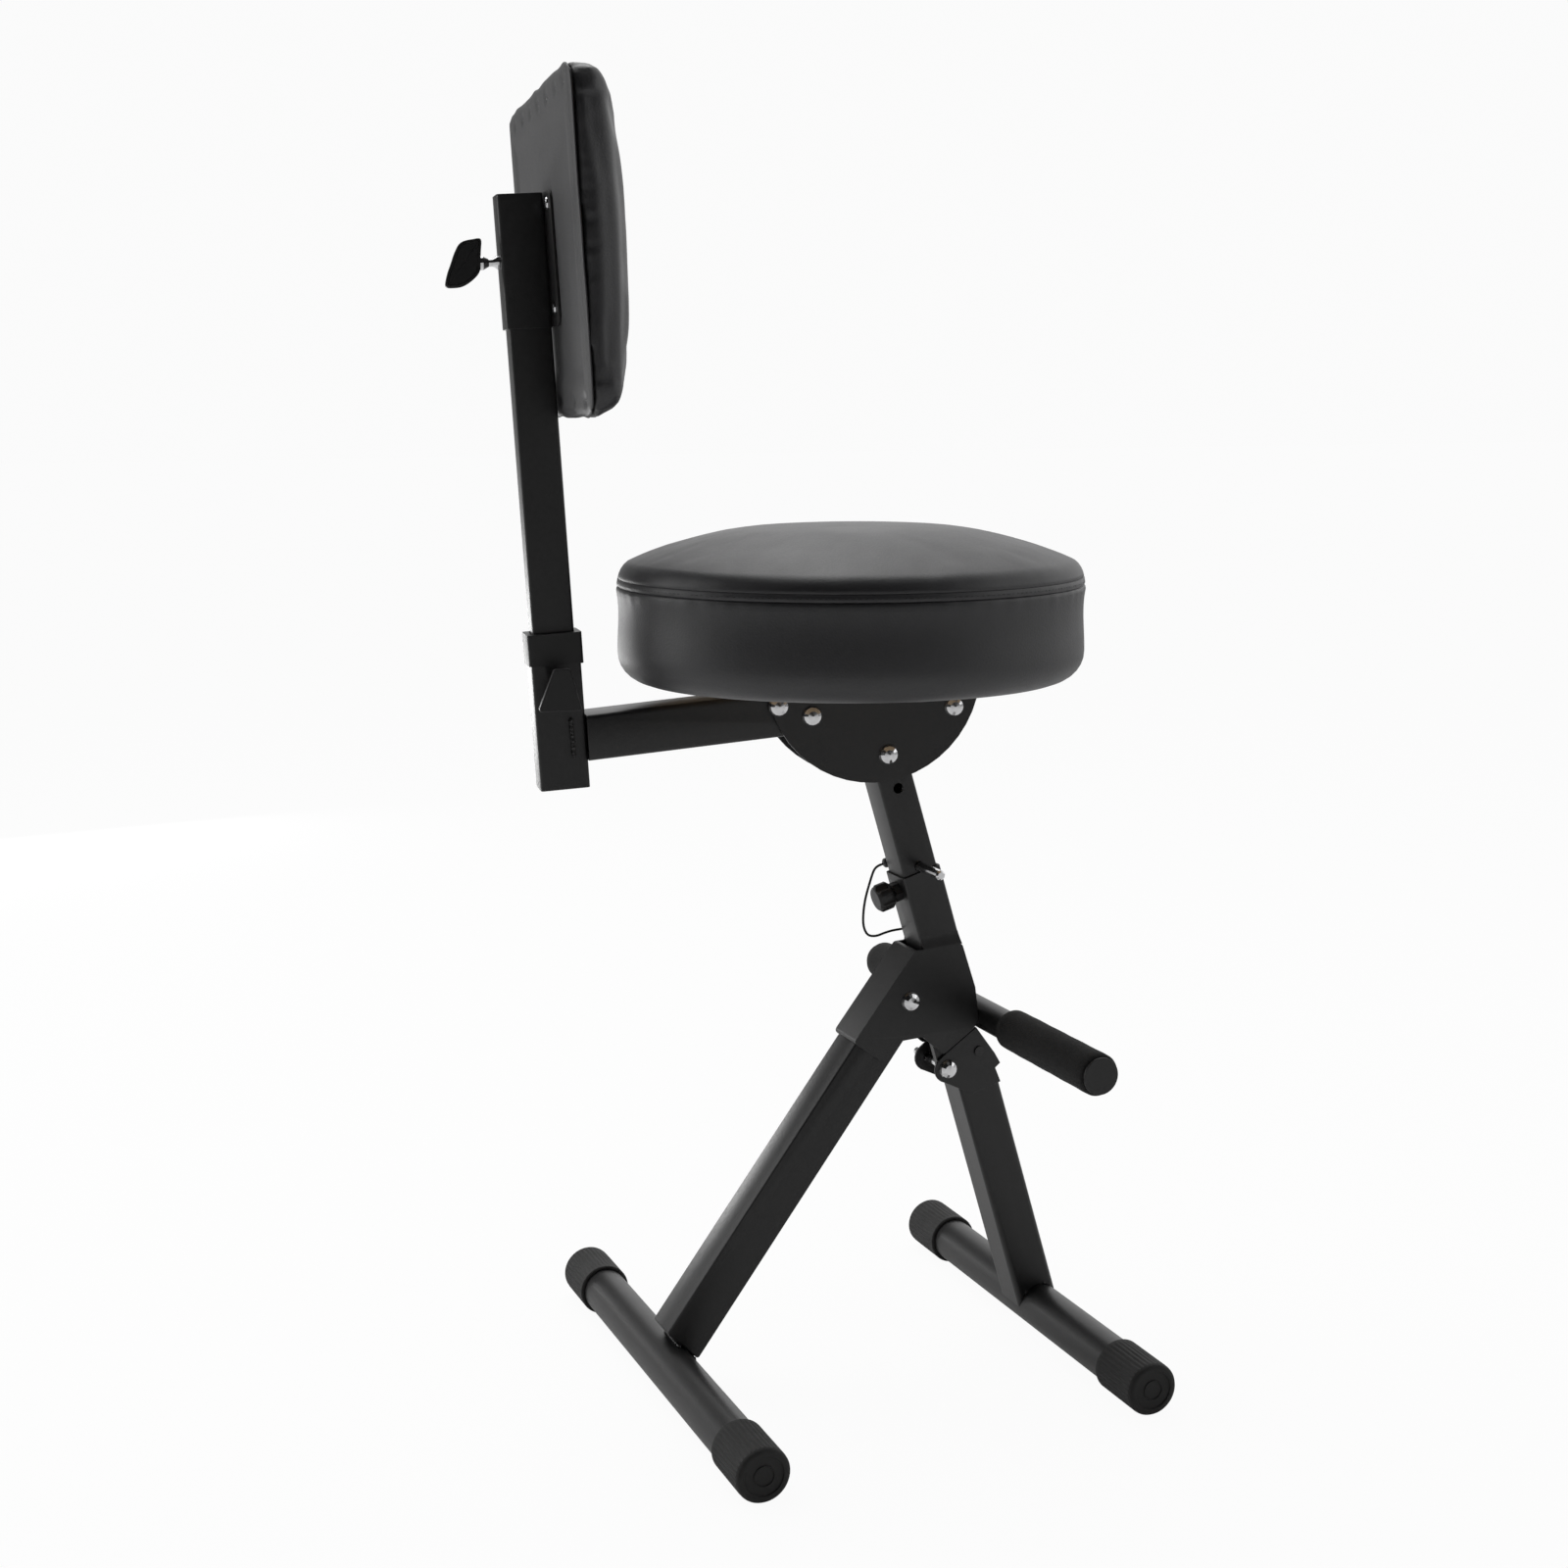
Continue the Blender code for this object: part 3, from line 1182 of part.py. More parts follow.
bpy.context.view_layer.update()
for body_name in ("rear_leg", "front_leg", "column", "height_pin", "clamp_knob", "seat_unit", "socket_knob",
                  "post", "carriage", "carriage_knob"):
    axis_point = bpy.data.objects[body_name + "_axis"].matrix_world.translation
    print(body_name, "axis at", tuple(round(value, 5) for value in axis_point))
print("shift_y", round(shift_y, 5))
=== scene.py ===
# %% [markdown]
# # A folding stool for guitar players
#
# The stool in this lesson has a round padded seat on a half-round bracket, an
# arm that carries a padded backrest behind it, and a folding frame with a
# footrest. The hard shapes come from an engineering model, which is loaded
# first and never moved. This script dresses it: it sets the camera, lights and
# finishes, softens the hard edges and replaces the soft, ribbed and curved
# pieces with finer ones.

# %% Load the engineering model
import bmesh
import bpy
import json
from math import atan2, copysign, cos, hypot, pi, radians, sin
from mathutils import Matrix, Vector
from mathutils.kdtree import KDTree


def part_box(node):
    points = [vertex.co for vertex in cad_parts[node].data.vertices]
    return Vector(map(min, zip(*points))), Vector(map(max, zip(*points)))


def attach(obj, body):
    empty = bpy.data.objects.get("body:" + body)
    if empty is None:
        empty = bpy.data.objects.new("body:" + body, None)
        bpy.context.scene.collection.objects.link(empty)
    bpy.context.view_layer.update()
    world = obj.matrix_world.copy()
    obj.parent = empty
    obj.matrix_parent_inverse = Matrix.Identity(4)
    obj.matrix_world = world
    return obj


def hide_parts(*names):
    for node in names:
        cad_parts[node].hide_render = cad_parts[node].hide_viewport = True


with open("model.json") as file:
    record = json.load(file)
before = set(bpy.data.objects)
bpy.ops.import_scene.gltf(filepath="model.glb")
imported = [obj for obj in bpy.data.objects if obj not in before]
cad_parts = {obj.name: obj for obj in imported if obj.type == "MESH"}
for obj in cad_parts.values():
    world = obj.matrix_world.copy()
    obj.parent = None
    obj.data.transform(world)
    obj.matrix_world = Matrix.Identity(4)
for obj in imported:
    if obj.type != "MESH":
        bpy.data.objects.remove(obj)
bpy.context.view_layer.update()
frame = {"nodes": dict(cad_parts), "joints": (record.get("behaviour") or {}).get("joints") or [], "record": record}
joints = {joint["name"]: joint for joint in frame["joints"]}
nodes = frame["nodes"]
slot_of = {part["node"]: part["material_slot"] for part in frame["record"]["subparts"]}

# %% [markdown]
# Four small functions serve the whole lesson. One adds an object to the scene,
# one turns an editable shape into a mesh, one gives an object's mesh with its
# modifiers applied, and one makes a rotation from the directions it leads to.

# %% Small helpers
def add_object(name, data):
    """A new object in the scene."""
    made = bpy.data.objects.new(name, data)
    bpy.context.scene.collection.objects.link(made)
    return made


def mesh_of(name, shape):
    """A mesh from an editable shape, which is used up."""
    mesh = bpy.data.meshes.new(name)
    shape.to_mesh(mesh)
    shape.free()
    return mesh


def evaluated_mesh(piece):
    """The mesh of an object with its modifiers applied."""
    return bpy.data.meshes.new_from_object(
        piece.evaluated_get(bpy.context.evaluated_depsgraph_get()))


def rotation(first, second, third):
    """The rotation that takes X, Y and Z to three directions."""
    return Matrix((first, second, third)).transposed().to_4x4()


print("helpers ready")

# %% [markdown]
# The side view was drawn with its zero under the seat's centre, and the model
# was then shifted along Y to stand centred on the origin. One joint tells how
# far. The seat and everything it carries is also turned a little on the
# column, so those pieces share a second frame, found from the seat's hinge.

# %% Frames of the base and of the seat unit
MM = 0.001
across = Vector((1, 0, 0))
upright = Vector((0, 0, 1))
drawn_hinge_y = -38.9 * MM
shift = Vector((0, joints["rear_leg_fold"]["pos_m"][1] - drawn_hinge_y, 0))
seat_pivot = Vector(joints["seat_fold"]["pos_m"])
seat_across = Vector(joints["seat_fold"]["axis"])
seat_turn = atan2(seat_across.y, seat_across.x)
seat_frame = (Matrix.Translation(seat_pivot) @ Matrix.Rotation(seat_turn, 4, "Z")
              @ Matrix.Translation(shift - seat_pivot))
print("shift", tuple(shift), "seat turned by", round(seat_turn * 180 / pi, 2), "degrees")

# %% [markdown]
# The camera stands at the stool's left, a little behind it and a little above
# the seat. Its place was worked out from edges whose real position is known,
# so each edge of the model falls where the photograph has it. A camera looks
# along its own -Z, so its matrix takes the right, up and backward directions.

# %% Camera
focal_pixels = 2266.24
frame_pixels = 1600
camera_place = Vector((-1.43052, 0.64106, 0.69863)) + shift
yaw, pitch, roll = -0.39033, 0.16874, -0.00552
look = Vector((cos(yaw) * cos(pitch), sin(yaw) * cos(pitch), -sin(pitch)))
level = Vector((sin(yaw), -cos(yaw), 0))
lift = level.cross(look)
right = level * cos(roll) + lift * sin(roll)
above = lift * cos(roll) - level * sin(roll)
lens = bpy.data.cameras.new("studio_camera")
lens.sensor_width = 36
lens.lens = lens.sensor_width * focal_pixels / frame_pixels
lens.clip_start = 0.05
camera = add_object("studio_camera", lens)
camera.matrix_world = Matrix.Translation(camera_place) @ rotation(right, above, -look)
bpy.context.scene.camera = camera
print("camera at", tuple(camera_place), "with a", round(lens.lens, 2), "mm lens")

# %% [markdown]
# A thin cord keeps the height pin from getting lost. It leaves the black
# handle, hangs in a loop behind the column and comes back to a small anchor on
# the sleeve. A curve with a round bevel is the natural tool: its points are the
# route, and a smooth function runs through them. The finished tube is then
# taken off the curve as a mesh, which is easier to measure.

# %% Lanyard
cord_diameter = 1.8 * MM


def smooth_route(points, steps):
    """Points of a smooth curve that passes through each point of a route."""
    result = [points[0]]
    last = len(points) - 1
    for index in range(last):
        before, first = points[max(index - 1, 0)], points[index]
        second, after = points[index + 1], points[min(index + 2, last)]
        for step in range(1, steps + 1):
            t = step / steps
            result.append((first * 2 + (second - before) * t
                           + (before * 2 - first * 5 + second * 4 - after) * t ** 2
                           + (first * 3 - before - second * 3 + after) * t ** 3) / 2)
    return result


lanyard_route = [Vector(point) + shift for point in (
    (0.0216, -0.034726, 0.366001), (0.0216, -0.030726, 0.364801), (0.0240, -0.0284, 0.3610),
    (0.0256, -0.0256, 0.3510), (0.0268, -0.0230, 0.3400), (0.0274, -0.0216, 0.3290),
    (0.0278, -0.0220, 0.3190), (0.0280, -0.0255, 0.3122), (0.0280, -0.0320, 0.3106),
    (0.0274, -0.0395, 0.3125), (0.0257, -0.0468, 0.3142), (0.0235, -0.064997, 0.315541),
    (0.0208, -0.063497, 0.315141), (0.0190, -0.063497, 0.315141),
)]
route_steps = 4
lanyard_points = smooth_route(lanyard_route, route_steps)
cord_data = bpy.data.curves.new("lanyard_cord", "CURVE")
cord_data.dimensions = "3D"
cord_data.bevel_depth = cord_diameter / 2
cord_data.bevel_resolution = 4
cord_data.use_fill_caps = True
spline = cord_data.splines.new("POLY")
spline.points.add(len(lanyard_points) - 1)
for target, point in zip(spline.points, lanyard_points):
    target.co = (*point, 1)
cord_curve = add_object("cord_curve", cord_data)
cord_mesh = evaluated_mesh(cord_curve)
cord_mesh.shade_smooth()
bpy.data.objects.remove(cord_curve, do_unlink=True)
lanyard = add_object("lanyard_cord", cord_mesh)
lanyard_length = sum((b - a).length for a, b in zip(lanyard_points, lanyard_points[1:]))
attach(lanyard, "base")
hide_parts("lanyard")
print("lanyard", round(lanyard_length * 1000, 1), "mm long")

# %% [markdown]
# Each finish is a small network of shader nodes. Written by hand that takes a
# dozen lines a node, so one class wraps a socket and lets sums and products of
# sockets be written as such. Anything else is one call that takes a node's
# type, its settings and what goes into its sockets.

# %% A socket that can be calculated with
class Wire:
    """A shader socket that takes part in sums, products and differences."""

    def __init__(self, tree, socket):
        self.tree = tree
        self.socket = socket

    def maths(self, operation, first, second):
        """A wire with the result of one operation."""
        made = self.tree.nodes.new("ShaderNodeMath")
        made.operation = operation
        connect(self.tree, made.inputs[0], first)
        connect(self.tree, made.inputs[1], second)
        return Wire(self.tree, made.outputs[0])

    def __add__(self, other):
        return self.maths("ADD", self, other)

    __radd__ = __add__

    def __mul__(self, other):
        return self.maths("MULTIPLY", self, other)

    __rmul__ = __mul__

    def __sub__(self, other):
        return self.maths("SUBTRACT", self, other)

    def __rsub__(self, other):
        return self.maths("SUBTRACT", other, self)


def connect(tree, place, value):
    """Link a wire to a socket, or set a plain value on it."""
    if isinstance(value, Wire):
        tree.links.new(value.socket, place)
    else:
        place.default_value = value


class Finish:
    """A material under construction, with one method for every node."""

    def __init__(self, name, **fixed):
        self.material = bpy.data.materials.new(name)
        self.material.use_nodes = True
        self.tree = self.material.node_tree
        self.shader = self.tree.nodes["Principled BSDF"]
        self.set(**fixed)

    def set(self, **values):
        """Give the shader's inputs values or wires."""
        for key, value in values.items():
            connect(self.tree, self.shader.inputs[key.replace("_", " ").title()], value)

    def node(self, kind, settings=None, output=0, **sockets):
        """Add a node with its settings and its inputs."""
        made = self.tree.nodes.new("ShaderNode" + kind)
        for key, value in (settings or {}).items():
            if key == "stops":
                ramp = made.color_ramp
                while len(ramp.elements) < len(value):
                    ramp.elements.new(0.5)
                for element, (position, colour) in zip(ramp.elements, value):
                    element.position = position
                    element.color = (*colour, 1)
            else:
                setattr(made, key, value)
        for key, value in sockets.items():
            connect(self.tree, made.inputs[key.replace("_", " ")], value)
        return Wire(self.tree, made.outputs[output])

    def place(self):
        """Where a point is on its object."""
        return self.node("TexCoord", output="Object")

    def noise(self, scale, detail=3.0, stretch=(1, 1, 1)):
        """Soft noise with a size in metres of 1 / scale."""
        spread = self.node("Mapping", Vector=self.place(), Scale=stretch)
        return self.node("TexNoise", Vector=spread, Scale=scale, Detail=detail)

    def cells(self, scale, feature="F1"):
        """Distance to the nearest of many scattered points."""
        return self.node("TexVoronoi", {"feature": feature}, output="Distance",
                         Vector=self.place(), Scale=scale)

    def blend(self, share, first, second):
        """A colour between two colours."""
        made = self.tree.nodes.new("ShaderNodeMix")
        made.data_type = "RGBA"
        connect(self.tree, made.inputs[0], share)
        for index, colour in ((6, first), (7, second)):
            plain = not isinstance(colour, Wire)
            connect(self.tree, made.inputs[index], (*colour, 1) if plain else colour)
        return Wire(self.tree, made.outputs[2])

    def bump(self, height, depth, strength=1.0, under=None):
        """Relief of a real depth in metres."""
        sockets = {"Height": height, "Distance": depth, "Strength": strength}
        if under is not None:
            sockets["Normal"] = under
        return self.node("Bump", **sockets)


print("shader helper ready")

# %% [markdown]
# The tubes and plates wear a satin black powder coat. Close up it has a faint
# orange-peel relief, a slightly uneven gloss and fine dust, and it has rubbed
# thin along its edges. Noise at three sizes gives those.

# %% Powder coat
coat = Finish("satin_powder_coat")
peel = coat.noise(620, 2)
cloud = coat.noise(14, 3)
dust = coat.noise(240, 4)
rub = coat.node("NewGeometry", output="Pointiness")
worn = coat.node("ValToRGB", {"stops": [(0.53, (0, 0, 0)), (0.60, (1, 1, 1))]}, Fac=rub)
worn_share = coat.node("RGBToBW", Color=worn) * dust * 0.35
tone = coat.blend(cloud, (0.0115, 0.0115, 0.0122), (0.0175, 0.0172, 0.0174))
coat.set(base_color=coat.blend(worn_share, tone, (0.075, 0.074, 0.072)),
         roughness=0.30 + cloud * 0.10 + dust * 0.07,
         normal=coat.bump(peel, 0.12 * MM, 0.55))
print("powder coat", len(coat.tree.nodes), "nodes")

# %% [markdown]
# The seat and the backrest are covered in black vinyl. Its grain is a net of
# small rounded cells with finer pores between them, which Voronoi distance
# draws well. A slow noise under it gives the cover its soft unevenness.

# %% Vinyl
vinyl = Finish("black_grained_vinyl")
cells = vinyl.cells(780, "SMOOTH_F1")
pores = vinyl.noise(1900, 2)
pull = vinyl.noise(30, 2)
shade = vinyl.noise(9, 3)
grain = vinyl.bump(cells + pores * 0.25, 0.16 * MM, 0.5)
vinyl.set(base_color=vinyl.blend(shade, (0.0135, 0.0135, 0.0158), (0.0215, 0.0210, 0.0235)),
          roughness=0.40 + pull * 0.10 + cells * 0.08,
          normal=vinyl.bump(pull, 0.6 * MM, 0.2, under=grain))
vinyl.set(sheen_weight=0.08, sheen_roughness=0.35)
vinyl.shader.inputs["Specular IOR Level"].default_value = 0.75
print("vinyl", len(vinyl.tree.nodes), "nodes")

# %% [markdown]
# Rubber caps, foam grips and moulded plastic are all black too, and only the
# way they scatter light tells them apart: rubber is dull with a little bloom,
# foam is full of fine pores, and the plastic of the knobs has a light texture.

# %% Rubber, foam and plastic
rubber = Finish("matte_black_rubber")
bloom = rubber.noise(55, 4)
speck = rubber.noise(900, 2)
rubber.set(base_color=rubber.blend(bloom, (0.0145, 0.0145, 0.0145), (0.026, 0.0255, 0.025)),
           roughness=0.62 + bloom * 0.16, normal=rubber.bump(speck, 0.10 * MM, 0.5))

foam = Finish("black_grip_foam")
open_cells = foam.cells(950)
crumbs = foam.noise(1500, 3)
foam.set(base_color=foam.blend(open_cells, (0.0075, 0.0075, 0.0075), (0.0185, 0.0183, 0.018)),
         roughness=0.86 + crumbs * 0.1, normal=foam.bump(open_cells + crumbs * 0.5, 0.22 * MM, 0.8))

plastic = Finish("moulded_black_plastic")
spark = plastic.noise(1100, 2)
wear = plastic.noise(60, 3)
plastic.set(base_color=plastic.blend(wear, (0.0095, 0.0095, 0.010), (0.0165, 0.0163, 0.016)),
            roughness=0.38 + wear * 0.14, normal=plastic.bump(spark, 0.07 * MM, 0.5))
print("rubber, foam and plastic ready")

# %% [markdown]
# The rivets and the height pin are chromed, the nuts are zinc plated, the
# staples are dull steel wire, the boards inside the pads are plywood and the
# lanyard is a braided cord. Chrome is almost a mirror, with faint haze where
# fingers have been.

# %% Chrome, zinc, plywood and cord
chrome = Finish("bright_chrome_plate", metallic=1.0)
haze = chrome.noise(130, 3)
chrome.set(base_color=chrome.blend(haze, (0.70, 0.70, 0.71), (0.80, 0.80, 0.81)),
           roughness=0.08 + haze * 0.10, normal=chrome.bump(haze, 0.04 * MM, 0.3))

zinc = Finish("zinc_plate", metallic=1.0)
spangle = zinc.cells(420)
zinc.set(base_color=zinc.blend(spangle, (0.42, 0.42, 0.43), (0.58, 0.58, 0.57)),
         roughness=0.30 + spangle * 0.15, normal=zinc.bump(spangle, 0.05 * MM, 0.4))

ply = Finish("birch_plywood")
fibre = ply.noise(160, 4, (1, 0.06, 1))
ring = ply.noise(24, 2, (1, 0.1, 1))
ply.set(base_color=ply.blend(fibre * 0.6 + ring * 0.4, (0.32, 0.21, 0.115), (0.50, 0.37, 0.23)),
        roughness=0.62 + fibre * 0.12, normal=ply.bump(fibre, 0.15 * MM, 0.4))

staple_steel = Finish("dark_staple_wire", metallic=1.0)
dulled = staple_steel.noise(300, 2)
staple_steel.set(base_color=staple_steel.blend(dulled, (0.10, 0.10, 0.10), (0.20, 0.20, 0.20)),
                 roughness=0.4 + dulled * 0.2)

braid = Finish("braided_black_cord")
strand = braid.noise(1400, 2)
braid.set(base_color=braid.blend(strand, (0.008, 0.008, 0.008), (0.02, 0.02, 0.02)),
          roughness=0.55 + strand * 0.2, normal=braid.bump(strand, 0.10 * MM, 0.7))

finishes = {
    "powder_coated_steel": coat, "black_vinyl": vinyl, "black_rubber": rubber,
    "black_foam": foam, "black_plastic": plastic, "bright_chrome": chrome,
    "zinc_steel": zinc, "plywood": ply, "black_cord": braid,
}
lanyard.data.materials.append(braid.material)
print(len(finishes), "finishes")

# %% [markdown]
# Most hard pieces have the right shape already, but a solid from an
# engineering program has razor edges that never catch the light. A copy of
# each is merged, cleaned of needless edges and given a small bevel, and it
# stands for the original.

# %% Soften the edges of the hard pieces
sharp_angle = 38
merge_gap = 0.01 * MM
usual_bevel = 0.3
bevels = {"hub": 0.7, "bracket_plate_left": 0.5, "bracket_plate_right": 0.5,
          "leg_bracket_left": 0.4, "leg_bracket_right": 0.4, "socket_knob": 0.9,
          "clamp_knob": 0.6, "pin_handle": 0.5, "hinge_lug": 0.6, "bracket_stop": 0.6,
          "socket_collar": 0.6, "carriage": 0.35}
foot_caps = [end + "_foot_cap_" + side for end in ("rear", "front") for side in ("left", "right")]
foam_grips = ["foam_grip_left", "foam_grip_right"]
remade = {"seat_pad", "backrest_pad", "lanyard", "carriage_knob_head", *foam_grips, *foot_caps}
body_of = {member: body for body, members in frame["record"]["behaviour"]["bodies"].items()
           for member in members}


def smooth_faces(mesh, degrees=sharp_angle):
    """Smooth shading, with every edge sharper than an angle kept sharp."""
    mesh.shade_smooth()
    mesh.set_sharp_from_angle(angle=radians(degrees))


def add_piece(name, shape, body, slot, replaces=(), smooth=sharp_angle):
    """A finished object in its place: it takes a slot's finish and rides on a body."""
    mesh = mesh_of(name, shape)
    mesh.materials.append(finishes[slot].material)
    smooth_faces(mesh, smooth)
    piece = add_object(name, mesh)
    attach(piece, body)
    if replaces:
        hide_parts(*replaces)
    return piece


def soften(node, width):
    """A copy of a solid with its needless edges gone and its real ones rounded."""
    shape = bmesh.new()
    shape.from_mesh(nodes[node].data)
    bmesh.ops.remove_doubles(shape, verts=shape.verts, dist=merge_gap)
    bmesh.ops.dissolve_limit(shape, angle_limit=radians(0.6), verts=shape.verts, edges=shape.edges)
    piece = add_piece(node + "_finished", shape, body_of[node], slot_of[node], [node])
    edges = piece.modifiers.new("edges", "BEVEL")
    edges.width = width
    edges.segments = 2
    edges.limit_method = "ANGLE"
    edges.angle_limit = radians(sharp_angle)
    edges.harden_normals = True


softened = 0
for name, node in sorted(nodes.items()):
    if name in remade:
        continue
    if slot_of[name] in ("powder_coated_steel", "black_plastic"):
        soften(name, bevels.get(name, usual_bevel) * MM)
        softened += 1
    else:
        node.data.materials.clear()
        node.data.materials.append(finishes[slot_of[name]].material)
        smooth_faces(node.data)
for name in ("latch_rivet", "clamp_nut"):
    nodes[name].data.materials[0] = coat.material
print(softened, "solids softened, the latch rivet and the clamp's nut painted")

# %% [markdown]
# Round pieces with ribs or grooves are turned: a half outline is drawn as a
# chain of points and spun about its axis. The spin merges its seam, and the
# normals are put right, because a spin can turn a shape inside out. The side
# pieces need to know where they begin, so that is worked out here too.

# %% Turning helper
def turned(profile, steps, start, direction):
    """A turned form whose heights run from start along direction."""
    shape = bmesh.new()
    verts = [shape.verts.new((radius, 0, height)) for radius, height in profile]
    edges = [shape.edges.new(pair) for pair in zip(verts, verts[1:])]
    if profile[0][0] > 0:
        edges.append(shape.edges.new((verts[-1], verts[0])))
    bmesh.ops.spin(shape, geom=verts + edges, cent=(0, 0, 0), axis=(0, 0, 1), angle=2 * pi,
                   steps=steps, use_merge=True)
    bmesh.ops.remove_doubles(shape, verts=shape.verts, dist=merge_gap / 2)
    bmesh.ops.recalc_face_normals(shape, faces=shape.faces)
    axis = direction.normalized()
    side = (upright.cross(axis) if abs(axis.z) < 0.9 else axis.orthogonal()).normalized()
    place = Matrix.Translation(start) @ rotation(side, axis.cross(side), axis)
    bmesh.ops.transform(shape, matrix=place, verts=shape.verts)
    return shape


def inner_end(node):
    """Where a side piece begins, its direction outward, its length and its radius."""
    low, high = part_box(node)
    outward = across if low.x + high.x > 0 else -across
    inner_x = low.x if outward.x > 0 else high.x
    start = Vector((inner_x, (low.y + high.y) / 2, (low.z + high.z) / 2))
    return start, outward, high.x - low.x, (high.z - low.z) / 2


print("turning helper ready")

# %% [markdown]
# The foot caps are moulded rubber with grip ribs along them and two rings on
# the closed end. The cap is turned with many sides, and every second pair of
# its sides is drawn in by half a millimetre, which leaves the ribs. A cut at
# floor height gives it the worn flat that it stands on.

# %% Foot caps
cap_radius = 19.2 * MM
cap_bore = 16.8 * MM
cap_length = 47 * MM
cap_depth = 42 * MM
rib_depth = 0.55 * MM
rib_sides = 144
ribs_from, ribs_to = 5 * MM, cap_length - 4.2 * MM
bar_height = 18.7 * MM
worn_flat = 0.02 * MM


def foot_cap(node):
    """A cap turned about its bar, with rings on its end, ribs along it and a flat."""
    bar_axis, outward = inner_end(node)[:2]
    bar_axis.z = bar_height
    profile = [(radius * MM, cap_length - down * MM) for radius, down in (
        (0, 0.9), (6.6, 0.9), (7.0, 0.2), (7.4, 0.9), (13.4, 0.9), (13.9, 0.1))]
    profile += [(cap_radius - inward * MM, cap_length - down * MM) for inward, down in (
        (3.4, 0), (2.4, 0.25), (1.0, 1.2), (0.2, 2.6), (0, 4.5), (0, 20))]
    profile += [(cap_radius - inward * MM, height * MM) for inward, height in (
        (0, 5.2), (0, 3.2), (0, 0.7), (0.7, 0))]
    profile += [(cap_bore, 0), (cap_bore, cap_depth), (0, cap_depth)]
    shape = turned(profile, rib_sides, bar_axis, outward)
    for vert in shape.verts:
        offset = vert.co - bar_axis
        radius = hypot(offset.y, offset.z)
        side = round(atan2(offset.z, offset.y) / (2 * pi) * rib_sides) % 4
        if radius < cap_radius - 0.1 * MM or not ribs_from < abs(offset.x) < ribs_to or side > 1:
            continue
        drawn_in = 1 - rib_depth / radius
        vert.co = bar_axis + Vector((offset.x, offset.y * drawn_in, offset.z * drawn_in))
    flat = bmesh.ops.bisect_plane(shape, geom=[*shape.verts, *shape.edges, *shape.faces],
                                  plane_co=(0, 0, worn_flat), plane_no=(0, 0, -1),
                                  clear_outer=True)
    rim = [item for item in flat["geom_cut"] if isinstance(item, bmesh.types.BMEdge)]
    bmesh.ops.holes_fill(shape, edges=rim)
    return add_piece(node + "_ribbed", shape, body_of[node], "black_rubber", [node], smooth=24)


for node in foot_caps:
    cap = foot_cap(node)
    print(cap.name, len(cap.data.polygons), "faces")

# %% [markdown]
# The footrest grips are foam sleeves pushed onto the bar. Foam has no sharp
# edge anywhere and is never perfectly straight, so the sleeve's outline swells
# and shrinks by a tenth of a millimetre.

# %% Foam grips
grip_bore = 11.3 * MM
grip_rings = 14
grip_swell = 0.12 * MM
for node in foam_grips:
    start, outward, length, radius = inner_end(node)
    profile = [(grip_bore, length)]
    profile += [(radius - inward * MM, length - down * MM) for inward, down in (
        (2.4, 0), (1.0, 0.7), (0.2, 2.2))]
    profile += [(radius + grip_swell * (sin(index * 1.9) - 1), length * (1 - index / grip_rings))
                for index in range(1, grip_rings)]
    profile += [(radius - inward * MM, rise * MM) for inward, rise in (
        (0.3, 2.2), (1.2, 0.6), (2.6, 0))]
    profile.append((grip_bore, 0))
    sleeve = turned(profile, 64, start, outward)
    grip = add_piece(node + "_sleeve", sleeve, "base", "black_foam", [node], smooth=50)
    print(grip.name, round(length * 1000), "mm long")

# %% [markdown]
# The legs are welded to the foot bars and the arm to the post's socket. A weld
# is a row of small overlapping drops, so each bead is built from low drops set
# along a line at half their own width, and the paint goes over all of it.

# %% Weld beads
drop_radius = 1.5 * MM
drop_wander = 0.18 * MM


def weld(beads, start, end, seed):
    """A bead of drops from start to end."""
    count = max(2, round((end - start).length / (drop_radius * 0.9)))
    for index in range(count + 1):
        wander = Vector((sin(seed + index * 2.3), sin(seed * 2 + index * 1.7),
                         sin(seed * 3 + index * 3.1)))
        radius = drop_radius * (1 + 0.16 * sin(index * 1.9 + seed))
        made = bmesh.ops.create_icosphere(beads, subdivisions=1, radius=radius)
        bmesh.ops.translate(beads, verts=made["verts"],
                            vec=start.lerp(end, index / count) + wander * drop_wander)


def finish_weld(name, shape, body, smooth=70):
    """Paint a weld and say how many faces it has."""
    piece = add_piece(name, shape, body, "powder_coated_steel", smooth=smooth)
    print(name, len(piece.data.polygons), "faces")


leg_half = 14.8 * MM
bar_radius = 16.5 * MM
bead_reach = bar_radius + 0.7 * MM
bead_lean = 28
for name, body, bar_y, contact in (("rear_weld", "rear_leg", 147 * MM, 135),
                                   ("front_weld", "front_leg", -150.5 * MM, 74)):
    beads = bmesh.new()
    for index, lean in enumerate((-bead_lean, bead_lean)):
        angle = radians(contact + lean)
        depth, height = bar_y + bead_reach * cos(angle), bar_height + bead_reach * sin(angle)
        start, end = (shift + Vector((x, depth, height)) for x in (-leg_half, leg_half))
        weld(beads, start, end, index + bar_y)
    finish_weld(name, beads, body)

arm_half = 15.2 * MM
arm_end = (219.5 - 17.9) * MM
arm_foot = arm_end - 0.4 * MM, 461.5 * MM
arm_head = arm_end + 0.9 * MM, 487.5 * MM
beads = bmesh.new()
for index, side in enumerate((-1, 1)):
    start, end = (seat_frame @ Vector((side * arm_half, *place)) for place in (arm_foot, arm_head))
    weld(beads, start, end, index + 5)
finish_weld("arm_weld", beads, "seat_unit")

# %% [markdown]
# The hub's plates are welded to the sleeve along their top edges. The weld on
# the left is ground to a slope and painted over, so the plate runs into the
# sleeve without a step. The one on the right is low, because of the lanyard.

